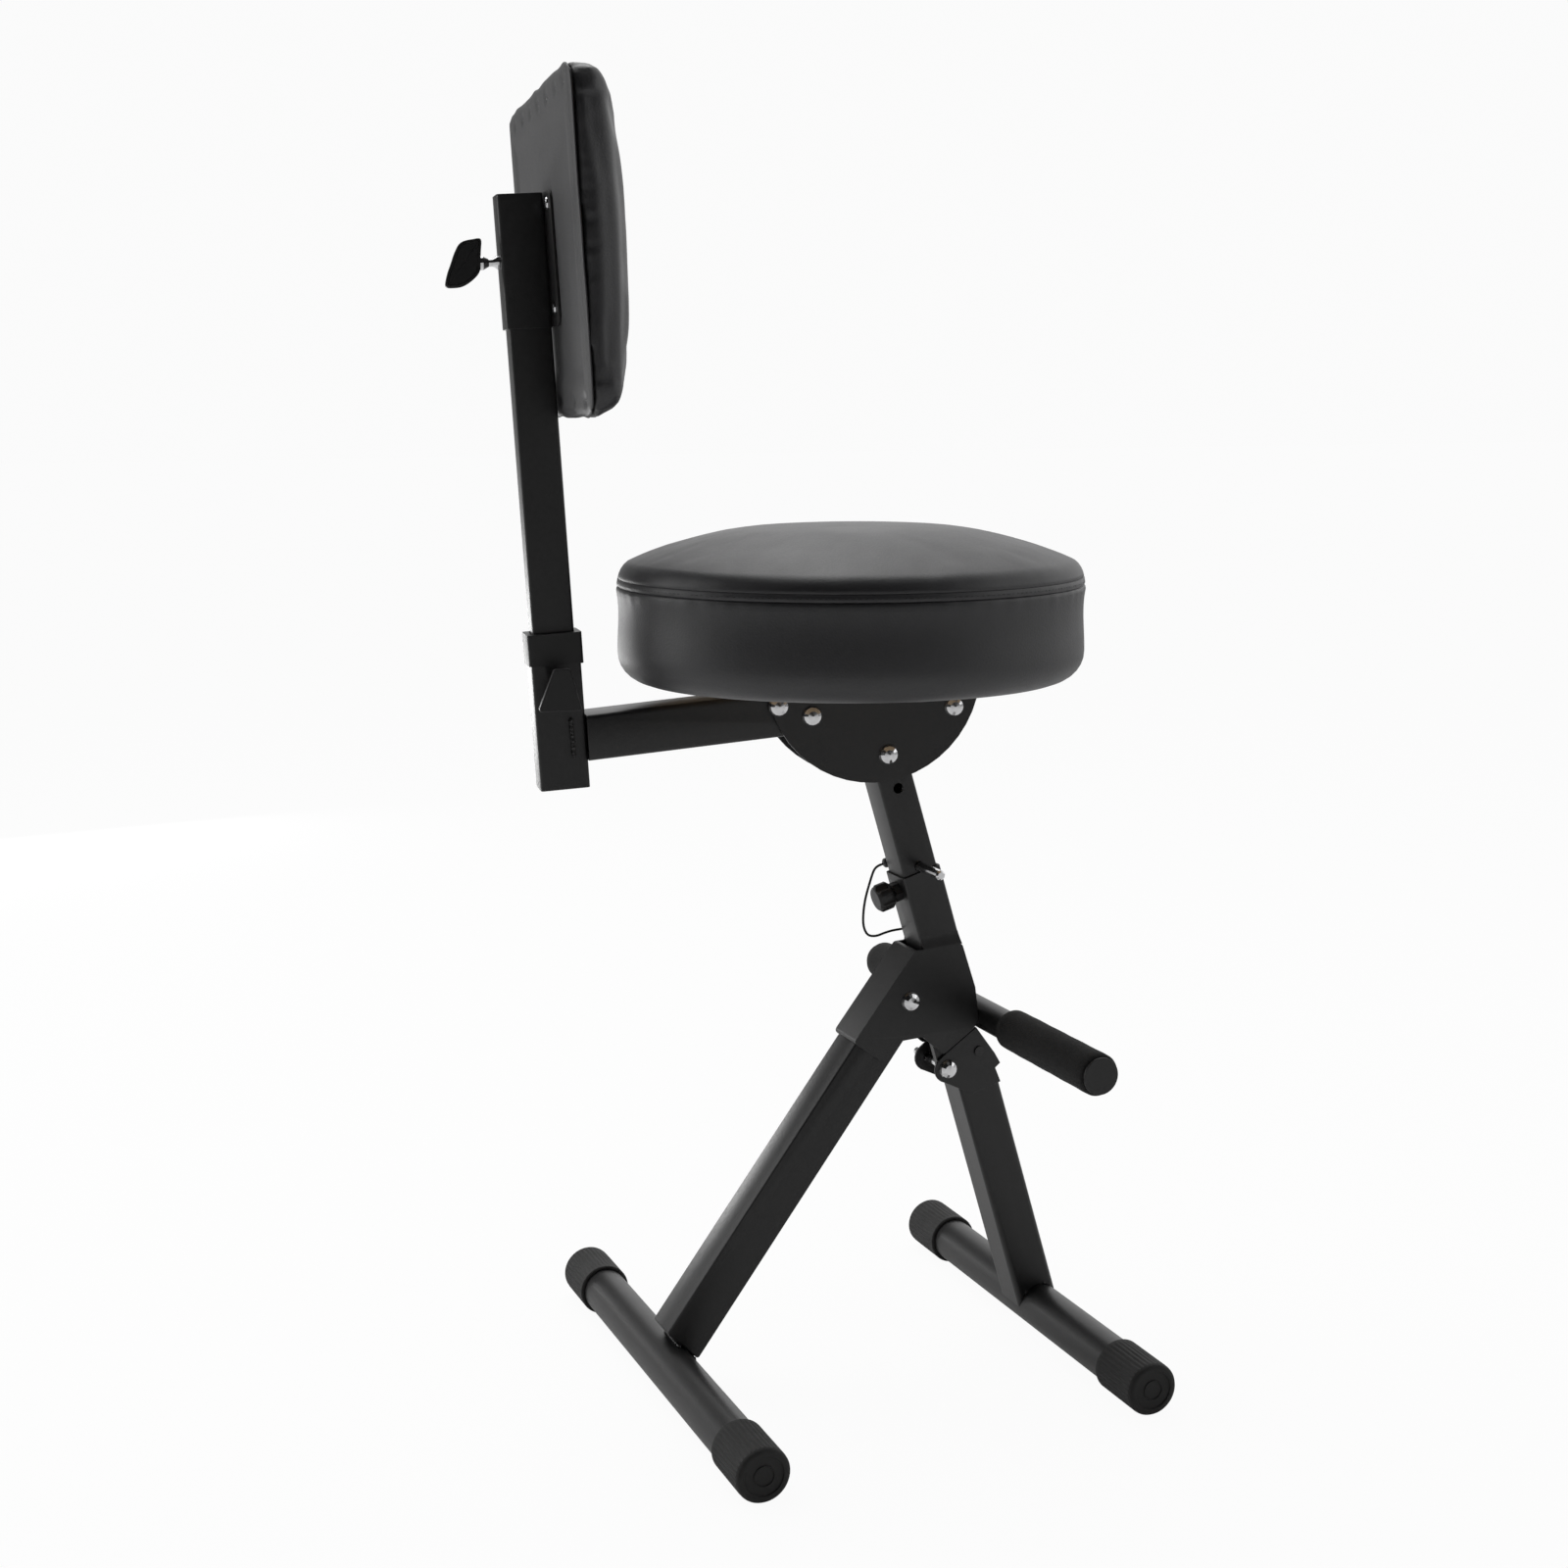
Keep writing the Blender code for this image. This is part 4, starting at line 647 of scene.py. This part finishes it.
# %% Ground welds between the hub and the sleeve
sleeve_half = 15.4 * MM
plate_face = 17.65 * MM
weld_sink = 0.1 * MM
weld_root = -0.3 * MM
weld_reach = sleeve_half - 0.5 * MM
edge_rear = Vector((0, -42 * MM, 308 * MM)) + shift
edge_front = Vector((0, -80.4 * MM, 310.5 * MM)) + shift
column_up = Vector(joints["column_height"]["axis"])
column_rear = across.cross(column_up)
pin_centre = Vector(joints["height_pin_pull"]["pos_m"])
pin_centre.x = 0


def edge_height(y):
    """Height of the plates' top edge at a place along it."""
    return edge_rear.lerp(edge_front, (y - edge_rear.y) / (edge_front.y - edge_rear.y)).z


ground_weld = bmesh.new()
for side, height in ((-1, 10 * MM), (1, 2.6 * MM)):
    profile = [(sleeve_half - weld_sink, weld_root), (plate_face, weld_root)]
    for share in [step / 6 for step in range(7)]:
        slope = (plate_face - sleeve_half) * (1 - share) ** 2
        profile.append((sleeve_half + weld_sink / 2 + slope, height * share))
    profile.append((sleeve_half - weld_sink, height))
    ends = []
    for reach in (-weld_reach, weld_reach):
        foot = pin_centre + column_rear * reach
        foot += column_up * ((edge_height(foot.y) - foot.z) / column_up.z)
        foot += column_up * (edge_height(foot.y) - foot.z)
        ends.append([ground_weld.verts.new(foot + across * (side * out) + column_up * rise)
                     for out, rise in profile])
        ground_weld.faces.new(ends[-1])
    first, second = ends
    for index, corner in enumerate(first):
        after = (index + 1) % len(first)
        ground_weld.faces.new((corner, first[after], second[after], second[index]))
bmesh.ops.recalc_face_normals(ground_weld, faces=ground_weld.faces)
finish_weld("hub_weld", ground_weld, "base", 50)

# %% [markdown]
# A plain pale floor and soft light from large panels make the studio. The
# floor shows white to the camera and much dimmer in reflections, so it doesn't
# wash out the black finishes. The room is bright beyond the stool and dark on
# the camera's side. A shiny face sees it brighter still toward the stool's
# front and darker toward its rear, as the photograph seems to have been lit.

# %% Floor, panels and world
floor_white = 0.95
floor_mirrored = 0.22
sky_white = 0.962


def ray_kinds(tree):
    """Two wires: 1 for rays from the camera, and 1 for rays off a shiny face."""
    path = tree.nodes.new("ShaderNodeLightPath")
    return [Wire(tree, path.outputs[name]) for name in ("Is Camera Ray", "Is Glossy Ray")]


def smooth_step(value, low, high, first, second):
    """A wire that goes from first to second while the value goes from low to high."""
    made = value.tree.nodes.new("ShaderNodeMapRange")
    made.interpolation_type = "SMOOTHSTEP"
    connect(value.tree, made.inputs["Value"], value)
    for name, number in zip(("From Min", "From Max", "To Min", "To Max"),
                            (low, high, first, second)):
        made.inputs[name].default_value = number
    return Wire(value.tree, made.outputs[0])


def panel(name, place, target, width, height, watts):
    """A soft rectangular lamp that faces a point."""
    lamp = bpy.data.lights.new(name, "AREA")
    lamp.shape = "RECTANGLE"
    lamp.size = width
    lamp.size_y = height
    lamp.energy = watts
    toward = (Vector(target) - Vector(place)).normalized()
    turn = toward.to_track_quat("-Z", "Y").to_matrix().to_4x4()
    add_object(name, lamp).matrix_world = Matrix.Translation(place) @ turn


paper = Finish("studio_paper", roughness=0.92, base_color=(0.86, 0.86, 0.86, 1))
seen, glossy = ray_kinds(paper.tree)
glow = paper.tree.nodes.new("ShaderNodeEmission")
mixer = paper.tree.nodes.new("ShaderNodeMixShader")
shown = seen.maths("MAXIMUM", seen, glossy * floor_mirrored) * floor_white
connect(paper.tree, mixer.inputs[0], shown)
paper.tree.links.new(paper.shader.outputs[0], mixer.inputs[1])
paper.tree.links.new(glow.outputs[0], mixer.inputs[2])
paper.tree.links.new(mixer.outputs[0], paper.tree.nodes["Material Output"].inputs["Surface"])
ground = bmesh.new()
bmesh.ops.create_grid(ground, x_segments=2, y_segments=2, size=30)
studio_floor = add_object("studio_floor", mesh_of("studio_floor", ground))
studio_floor.data.materials.append(paper.material)

panel("top_panel", place=(0.9, 0.2, 2.6), target=(0, 0, 0.5), width=2.2, height=2.2, watts=30)
panel("rear_panel", place=(1.4, 2.2, 1.3), target=(0, 0, 0.6), width=1.6, height=2.0, watts=18)
panel("far_panel", place=(2.45, 0.45, 0.2), target=(0, 0.2, 0.8), width=0.9, height=0.3, watts=6)
panel("left_panel", place=(-1.6, -2.2, 1.5), target=(0, 0, 0.4), width=1.2, height=1.8, watts=7)

world = bpy.data.worlds.new("studio_world")
bpy.context.scene.world = world
world.use_nodes = True
sky_tree = world.node_tree
sky = sky_tree.nodes["Background"]
direction = sky_tree.nodes.new("ShaderNodeTexCoord")
parts = sky_tree.nodes.new("ShaderNodeSeparateXYZ")
sky_tree.links.new(direction.outputs["Generated"], parts.inputs[0])
sideways, rearward = Wire(sky_tree, parts.outputs["X"]), Wire(sky_tree, parts.outputs["Y"])
room = smooth_step(sideways * 0.93 + rearward * -0.36, -0.35, 0.55, 0.045, 0.62)
mirrored = smooth_step(rearward, -0.28, 0.0, 1.75, 0.22)
seen, glossy = ray_kinds(sky_tree)
connect(sky_tree, sky.inputs["Strength"],
        (1 - seen) * room * (glossy * (mirrored - 1) + 1) + seen * sky_white)
sky.inputs["Color"].default_value = (1, 1, 1, 1)
bpy.context.scene.view_settings.view_transform = "Standard"
print("studio ready")

# %% [markdown]
# The cushions are the soft part of the stool. Foam pushes the vinyl out from
# inside, and the sewn edges and the boards hold it back. Cloth physics does the
# same: a copy of the cushion gets an even skin of small faces, air pressure
# swells it for twenty frames, and the part that lies on the board is pinned.
# How far each point moved is kept, with a limit. The seat's finer form then
# takes that movement from the points nearest to it.

# %% Cushion swelling
foam_pressure = 4.0
foam_frames = 20


def relax(shape):
    """Move every point halfway toward its neighbours."""
    bmesh.ops.smooth_vert(shape, verts=shape.verts, factor=0.5, use_axis_x=True, use_axis_y=True,
                          use_axis_z=True)


def even_skin(node, cell, shrink):
    """A cushion's solid with an even skin of cells, drawn in a little."""
    shape = bmesh.new()
    shape.from_mesh(nodes[node].data)
    bmesh.ops.remove_doubles(shape, verts=shape.verts, dist=merge_gap)
    bmesh.ops.recalc_face_normals(shape, faces=shape.faces)
    skin = add_object(node + "_skin", mesh_of(node + "_skin", shape))
    remesh = skin.modifiers.new("cells", "REMESH")
    remesh.mode = "VOXEL"
    remesh.voxel_size = cell
    even = evaluated_mesh(skin)
    skin.modifiers.clear()
    skin.data = even
    shape = bmesh.new()
    shape.from_mesh(even)
    relax(shape)
    shape.normal_update()
    for vert in shape.verts:
        vert.co -= vert.normal * shrink
    shape.to_mesh(even)
    shape.free()
    return skin


def swelling(skin, held, limit):
    """Run cloth pressure on a skin: each point's start and how far it moved."""
    starts = [vert.co.copy() for vert in skin.data.vertices]
    pinned = skin.vertex_groups.new(name="pinned")
    pinned.add([index for index, start in enumerate(starts) if held(start)], 1.0, "REPLACE")
    cloth = skin.modifiers.new("foam", "CLOTH")
    cloth.settings.vertex_group_mass = "pinned"
    cloth.settings.use_pressure = True
    cloth.settings.uniform_pressure_force = foam_pressure
    cloth.settings.effector_weights.gravity = 0
    cloth.settings.quality = 4
    scene = bpy.context.scene
    for frame_number in range(1, foam_frames + 1):
        scene.frame_set(frame_number)
    moves = []
    for start, vert in zip(starts, evaluated_mesh(skin).vertices):
        move = vert.co - start
        if move.length > limit:
            move = move * (limit / move.length)
        moves.append((start, move))
    scene.frame_set(1)
    skin.modifiers.clear()
    most = max(move.length for start, move in moves)
    print(skin.name, "swelled at", len(moves), "points by up to", round(most * 1000, 1), "mm")
    return moves


def movement_field(moves):
    """A function that gives the movement near a place."""
    tree = KDTree(len(moves))
    for index, (start, move) in enumerate(moves):
        tree.insert(start, index)
    tree.balance()

    def at(place):
        """The movement at a place, where nearer points count for more."""
        total = Vector()
        weight = 0
        for start, index, distance in tree.find_n(place, 6):
            share = 1 / (distance + 0.5 * MM) ** 2
            total += moves[index][1] * share
            weight += share
        return total / weight

    return at


print("cloth helper ready")

# %% [markdown]
# The seat cushion is a round panel that rolls over the rim and is sewn to a
# deep side, which is pulled under the board. At the seam the vinyl is drawn in
# along two thin lines with a narrow band between them. The form is turned from
# an outline with close rings there, and small puckers run round below it.

# %% Seat cushion
seat_centre = seat_frame.translation
seat_radius = 165 * MM
side_radius = seat_radius - 0.3 * MM
side_hollow = 1.8 * MM
seat_floor = 508.5 * MM
under_edge = 20 * MM
seam_height = 574.8 * MM
rim_turn_height = 592.5 * MM
rim_turn_radius = 155 * MM
seat_top = 614.5 * MM
crown_power = 3.4
pocket_radius = 146.4 * MM
pocket_ceiling = 525.7 * MM
panel_rings, side_rings, edge_rings = 26, 12, 7
board_zone, seam_zone = 24 * MM, 3 * MM
swell_from, swell_share = seat_floor + 22 * MM, 0.4
pucker_depth = 0.22 * MM
dip_depth = 0.18 * MM


def seat_held(place):
    """Whether a place on the seat's skin lies on the board or on the seam."""
    return place.z < seat_floor + board_zone or abs(place.z - seam_height) < seam_zone


skin = even_skin("seat_pad", 5 * MM, 1.6 * MM)
seat_field = movement_field(swelling(skin, seat_held, 4 * MM))
bpy.data.objects.remove(skin, do_unlink=True)

outline = [(0, seat_top)]
for share in [index / panel_rings for index in range(1, panel_rings + 1)]:
    sag = (seat_top - rim_turn_height) * share ** crown_power
    outline.append((rim_turn_radius * share, seat_top - sag))
outline += [(rim_turn_radius + out * MM, rim_turn_height - down * MM) for out, down in (
    (2.6, 1.3), (5, 3.4), (7, 6.2), (8.2, 9))]
outline += [(seat_radius - inward * MM, seam_height + rise * MM) for inward, rise in (
    (1.2, 6.2), (1.6, 5.6), (0.9, 5), (0.6, 2.6), (0.6, 1.2), (0.9, 0.5), (1.6, 0), (0.9, -0.5),
    (0.5, -1.3), (0.3, -3))]
side_top = outline[-1][1]
side_drop = side_top - seat_floor - under_edge
for share in [index / side_rings for index in range(1, side_rings + 1)]:
    drawn = side_hollow * sin(pi * share) * (1 - share)
    outline.append((side_radius - drawn, side_top - side_drop * share))
for index in range(1, edge_rings + 1):
    turned_by = pi / 2 * index / edge_rings
    outline.append((side_radius - under_edge * (1 - cos(turned_by)),
                    seat_floor + under_edge * (1 - sin(turned_by))))
outline += [(pocket_radius, seat_floor + 0.1 * MM), (pocket_radius, seat_floor + 3 * MM),
            (pocket_radius, pocket_ceiling), (pocket_radius * 0.8, pocket_ceiling),
            (0, pocket_ceiling)]
seat_form = turned(outline, 240, Vector((seat_centre.x, seat_centre.y, 0)), upright)
for vert in seat_form.verts:
    offset = Vector((vert.co.x - seat_centre.x, vert.co.y - seat_centre.y, 0))
    if vert.co.z > swell_from:
        vert.co += seat_field(vert.co) * swell_share
    angle = atan2(offset.y, offset.x)
    below = (seam_height - vert.co.z) / MM
    gather = max(0, 1 - abs(below - 3) / 9) if offset.length > seat_radius * 0.9 else 0
    wave = sin(angle * 67 + 2.1 * sin(angle * 5)) + 0.6 * sin(angle * 41 + 1.3 * sin(angle * 7))
    if offset.length > 0:
        vert.co += offset.normalized() * (pucker_depth * gather * wave)
    inward = max(0, 1 - offset.length / seat_radius)
    vert.co.z -= dip_depth * max(0, sin(angle * 3 + 0.7)) * inward
seat_cushion = add_piece("seat_cushion", seat_form, "seat_unit", "black_vinyl", ["seat_pad"],
                         smooth=60)
print("seat cushion", len(seat_cushion.data.polygons), "faces")

# %% [markdown]
# The stitches above the seam are short lengths of black thread that stand a
# little proud of the vinyl. One small capsule is made and copied round the
# seat, each copy turned to lie along the seam.

# %% Seat stitches
stitch_pitch = 4.2 * MM
stitch_length = 3.0 * MM
stitch_radius = 0.35 * MM
stitch_height = seam_height + 2.6 * MM
seam_radius = seat_radius - 0.85 * MM
stitches = bmesh.new()
stitch_count = round(2 * pi * seam_radius / stitch_pitch)
stretch = Matrix.Diagonal((1, 1, stitch_length / (2 * stitch_radius), 1))
for index in range(stitch_count):
    angle = 2 * pi * index / stitch_count
    outward = Vector((cos(angle), sin(angle), 0))
    middle = Vector((seat_centre.x, seat_centre.y, stitch_height)) + outward * seam_radius
    made = bmesh.ops.create_uvsphere(stitches, u_segments=6, v_segments=5, radius=stitch_radius)
    turn = rotation(outward, upright, Vector((-sin(angle), cos(angle), 0)))
    bmesh.ops.transform(stitches, matrix=Matrix.Translation(middle) @ turn @ stretch,
                        verts=made["verts"])
bmesh.ops.recalc_face_normals(stitches, faces=stitches.faces)
add_piece("seat_stitches", stitches, "seat_unit", "black_cord", smooth=80)
print(stitch_count, "stitches round the seat")

# %% [markdown]
# The post leans back a little, and the backrest leans with it. Its local frame
# has X across the back, Y out of the front face and Z up along the post, with
# the origin in the middle of the board's rear face.

# %% Backrest frame
post_lean = radians(3)
post_rear = Vector((0, cos(post_lean), -sin(post_lean)))
post_axis = Vector((0, sin(post_lean), cos(post_lean)))
post_mark_y, post_mark_z = 234.6 * MM, 695.7 * MM
board_ahead = 30.9 * MM


def on_board(height):
    """A point ahead of the post's rear face by the distance to the board."""
    y = post_mark_y + (height - post_mark_z) * post_axis.y / post_axis.z
    return Vector((0, y, height)) - post_rear * board_ahead


pad_half = 148 * MM
back_low, back_high = on_board(688 * MM), on_board(905 * MM)
pad_length = (back_high - back_low).length
half_length = pad_length / 2
pad_frame = (seat_frame @ Matrix.Translation((back_low + back_high) / 2)
             @ rotation(across, -post_rear, post_axis))
pad_frame_back = pad_frame.inverted()
print("backrest", round(2 * pad_half * 1000), "by", round(pad_length * 1000), "mm")

# %% [markdown]
# The wing head of the backrest's knob is a flat moulding with a curved outline
# and a raised rim round a hollow face. The outline is a closed smooth line
# through a few corners, drawn in the plane of the post.

# %% Wing head
wing_low, wing_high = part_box("carriage_knob_head")
wing_frame = (Matrix.Translation((wing_low + wing_high) / 2) @ seat_frame.to_3x3().to_4x4()
              @ rotation(across, post_rear, post_axis))
wing_line = [Vector((0, rear * MM, rise * MM)) for rear, rise in (
    (-12.6, 15.2), (-7.0, 15.4), (0.5, 13.7), (4.7, 8.0), (8.0, 0.5), (11.2, -7.0),
    (12.6, -14.2), (7.2, -15.4), (0.5, -14.4), (-6.2, -10.2), (-10.3, -5.4), (-11.2, 1.3),
    (-12.1, 8.0))]
wing_thick = 5.6 * MM
wing_ring = []
for index in range(len(wing_line)):
    around = [wing_line[(index + step) % len(wing_line)] for step in (-1, 0, 1, 2)]
    wing_ring += smooth_route(around, route_steps)[route_steps:2 * route_steps]
wing = bmesh.new()
side_face = wing.faces.new([wing.verts.new(point - across * wing_thick / 2) for point in wing_ring])
raised = bmesh.ops.extrude_face_region(wing, geom=[side_face])
bmesh.ops.translate(wing, vec=across * wing_thick,
                    verts=[item for item in raised["geom"] if isinstance(item, bmesh.types.BMVert)])
bmesh.ops.recalc_face_normals(wing, faces=wing.faces)
for rim_width, rim_rise in ((0.5, 0.25), (1.1, 0), (0.4, -0.6)):
    broad = [face for face in wing.faces if len(face.verts) > 4]
    bmesh.ops.inset_region(wing, faces=broad, thickness=rim_width * MM, depth=rim_rise * MM)
bmesh.ops.transform(wing, matrix=wing_frame, verts=wing.verts)
wing_head = add_piece("carriage_wing_head", wing, body_of["carriage_knob_head"], "black_plastic",
                      ["carriage_knob_head"], smooth=35)
print("wing head of", len(wing_head.data.polygons), "faces")

# %% [markdown]
# The backrest cushion is a flat block of foam whose vinyl is pulled round a
# board and stapled behind it. It has no sewn seam, so the swollen skin itself
# becomes the cushion. Small puckers run round its rear edge, where the vinyl
# turns over the board, the top bulges up, the lower half is thinner, and the
# vinyl lies double where it is folded at the corners.

# %% Backrest cushion
flat_zone, turn_zone = 3 * MM, 14 * MM
rear_rim, rear_gap = 11 * MM, 0.05 * MM
edge_band = 9 * MM
pucker_middle, pucker_fade = 4 * MM, 11 * MM
front_from, front_width = 5 * MM, 14 * MM
bulge_reach, bulge_rise = 32 * MM, 3.6 * MM
lower_thin = 2.6 * MM
fold_reach, fold_depth, fold_step = 23.5 * MM, 19 * MM, 0.8 * MM
corner_reach, pleat_from, pleat_depth = 26 * MM, 20 * MM, 0.35 * MM


def unit(value):
    """A value held between 0 and 1."""
    return min(1, max(0, value))


def past_edge(local):
    """How far a place is outside the cushion's outline, less than 0 inside it."""
    return max(abs(local.x) - pad_half, abs(local.z) - half_length)


def back_held(place):
    """Whether a place on the backrest's skin lies on the board."""
    local = pad_frame_back @ place
    return local.y < flat_zone or local.y < turn_zone and past_edge(local) < -8 * MM


skin = even_skin("backrest_pad", 4 * MM, 0.6 * MM)
back_moves = swelling(skin, back_held, 2.5 * MM)
form = bmesh.new()
form.from_mesh(skin.data)
form.verts.ensure_lookup_table()
for vert, (start, move) in zip(form.verts, back_moves):
    vert.co = start + move
relax(form)
relax(form)
bmesh.ops.subdivide_edges(form, edges=form.edges, cuts=1, use_grid_fill=True, smooth=0.0)
relax(form)
bpy.data.objects.remove(skin, do_unlink=True)

for vert in form.verts:
    local = pad_frame_back @ vert.co
    outside = past_edge(local)
    if outside > -rear_rim:
        local.y = max(local.y, rear_gap)
    near_side = abs(local.x) / pad_half > abs(local.z) / half_length
    if outside > -edge_band:
        around = (local.z if near_side else local.x) / MM
        fade = max(0, 1 - abs(local.y - pucker_middle) / pucker_fade)
        wave = sin(around * 0.31 + 2.3 * sin(around * 0.067)) + 0.6 * sin(around * 0.74 + 2)
        wave *= 0.5 + 0.5 * sin(around * 0.041 + 1)
        push = (0.30 * wave - 0.4) * MM * fade
        if near_side:
            local.x += copysign(1, local.x) * push
        else:
            local.z += copysign(1, local.z) * push
    front = unit((local.y - front_from) / front_width)
    rise = max(0, (abs(local.z) - half_length + bulge_reach) / bulge_reach)
    if local.z > 0:
        local.z += bulge_rise * front * rise * rise
    local.y -= lower_thin * front * unit(0.2 - local.z / half_length)
    if near_side and local.y < fold_depth:
        fold = unit((abs(local.z) - half_length + fold_reach) / (2 * MM))
        local.x += copysign(fold_step, local.x) * fold * min(1, (fold_depth - local.y) / (4 * MM))
    corner_x = abs(local.x) - pad_half + corner_reach
    corner_z = abs(local.z) - half_length + corner_reach
    corner = hypot(max(0, corner_x), max(0, corner_z))
    if corner > pleat_from:
        pleat = sin(atan2(corner_z, corner_x) * 16) * min(1, (corner - pleat_from) / (10 * MM))
        local.y += pleat_depth * pleat
    vert.co = pad_frame @ local
back_cushion = add_piece("backrest_cushion", form, "carriage", "black_vinyl", ["backrest_pad"],
                         smooth=60)
print("backrest cushion", len(back_cushion.data.polygons), "faces")

# %% [markdown]
# Behind the cushion the vinyl covers the board and ends a little inside its
# edge. It is one thin sheet. Its border stands proud, because the cushion's
# own vinyl lies folded under it, and each staple presses a dent into it. The
# grid starts as a plane, and a thin wall is given to it at the end.

# %% Vinyl behind the backrest
cover_inset = 2.2 * MM
cover_half = pad_half - cover_inset
cover_up = half_length - cover_inset
cover_wall, cover_gap = 0.4 * MM, 0.10 * MM
border_lift, border_width, border_slope = 1.2 * MM, 32 * MM, 14 * MM
dent_radius = 8 * MM
hem_from, hem_depth = 0.955, 1.6 * MM
staple_line = half_length - 13 * MM
staple_high_x = (-121, -88, -47, -8, 30, 69, 108)
staple_low_x = (-121, -74, -18, 31, 77, 117)
cover = bmesh.new()
bmesh.ops.create_grid(cover, x_segments=120, y_segments=96, size=1)
for vert in cover.verts:
    u, w = vert.co.x, vert.co.y
    outer = max(abs(u), abs(w))
    along = (w * cover_up if abs(u) > abs(w) else u * cover_half) / MM
    wave = 0.5 * MM * sin(along * 0.09 + 1.4 * sin(along * 0.053)) * outer ** 14
    corner_cut = 1 - 0.045 * (abs(u) * abs(w)) ** 16
    x = u * (cover_half + wave) * corner_cut
    z = w * (cover_up + wave) * corner_cut
    inside = min(cover_half - abs(u) * cover_half, cover_up - abs(w) * cover_up)
    border = unit((border_width - inside) / border_slope)
    beside = min(hypot(x - staple_x * MM, (abs(z) - staple_line) * 1.8)
                 for staple_x in (staple_high_x if z > 0 else staple_low_x))
    lift_off = border_lift * border * border * (3 - 2 * border) * unit(beside / dent_radius) ** 2
    uneven = cover_gap * sin(x / MM * 0.06 + 1) * sin(z / MM * 0.05)
    hem = hem_depth * max(0, outer - hem_from) / (1 - hem_from)
    vert.co = Vector((x, cover_gap + uneven - lift_off + hem, z))
bmesh.ops.recalc_face_normals(cover, faces=cover.faces)
if cover.faces[:][0].normal.y > 0:
    bmesh.ops.reverse_faces(cover, faces=cover.faces)
bmesh.ops.transform(cover, matrix=pad_frame, verts=cover.verts)
back_cover = add_piece("backrest_back_cover", cover, "carriage", "black_vinyl", smooth=60)
wall = back_cover.modifiers.new("wall", "SOLIDIFY")
wall.thickness = cover_wall
wall.offset = -1
print("back cover", round(2 * cover_half * 1000), "by", round(2 * cover_up * 1000), "mm")

# %% [markdown]
# Staples hold the vinyl to the board. Each is a flat wire bridge, ten
# millimetres long, pressed into the vinyl. They stand in a row near the top
# edge and the bottom edge, and none sits quite square.

# %% Staples
staple_span = 10 * MM
staple_wire = 0.55 * MM
staple_shape = Matrix.Diagonal((staple_span, staple_wire * 0.7, staple_wire * 1.6, 1))
staple_places = [(x, staple_line) for x in staple_high_x]
staple_places += [(x, -staple_line) for x in staple_low_x]
staple_tilts = (4, -7, 11, -3, 6, -12, 3, -5, 8, -9, 2, 7, -4)
staples = bmesh.new()
for (x, z), tilt in zip(staple_places, staple_tilts):
    made = bmesh.ops.create_cube(staples, size=1)
    place = Matrix.Translation((x * MM, 0.02 * MM, z))
    turn = Matrix.Rotation(radians(tilt), 4, "Y")
    bmesh.ops.transform(staples, matrix=place @ turn @ staple_shape, verts=made["verts"])
bmesh.ops.bevel(staples, geom=staples.edges[:], offset=0.15 * MM, segments=2, profile=0.5,
                affect="EDGES", material=-1)
bmesh.ops.transform(staples, matrix=pad_frame, verts=staples.verts)
staple_row = add_piece("backrest_staples", staples, "carriage", "zinc_steel", smooth=50)
staple_row.data.materials[0] = staple_steel.material
print(len(staple_places), "staples")
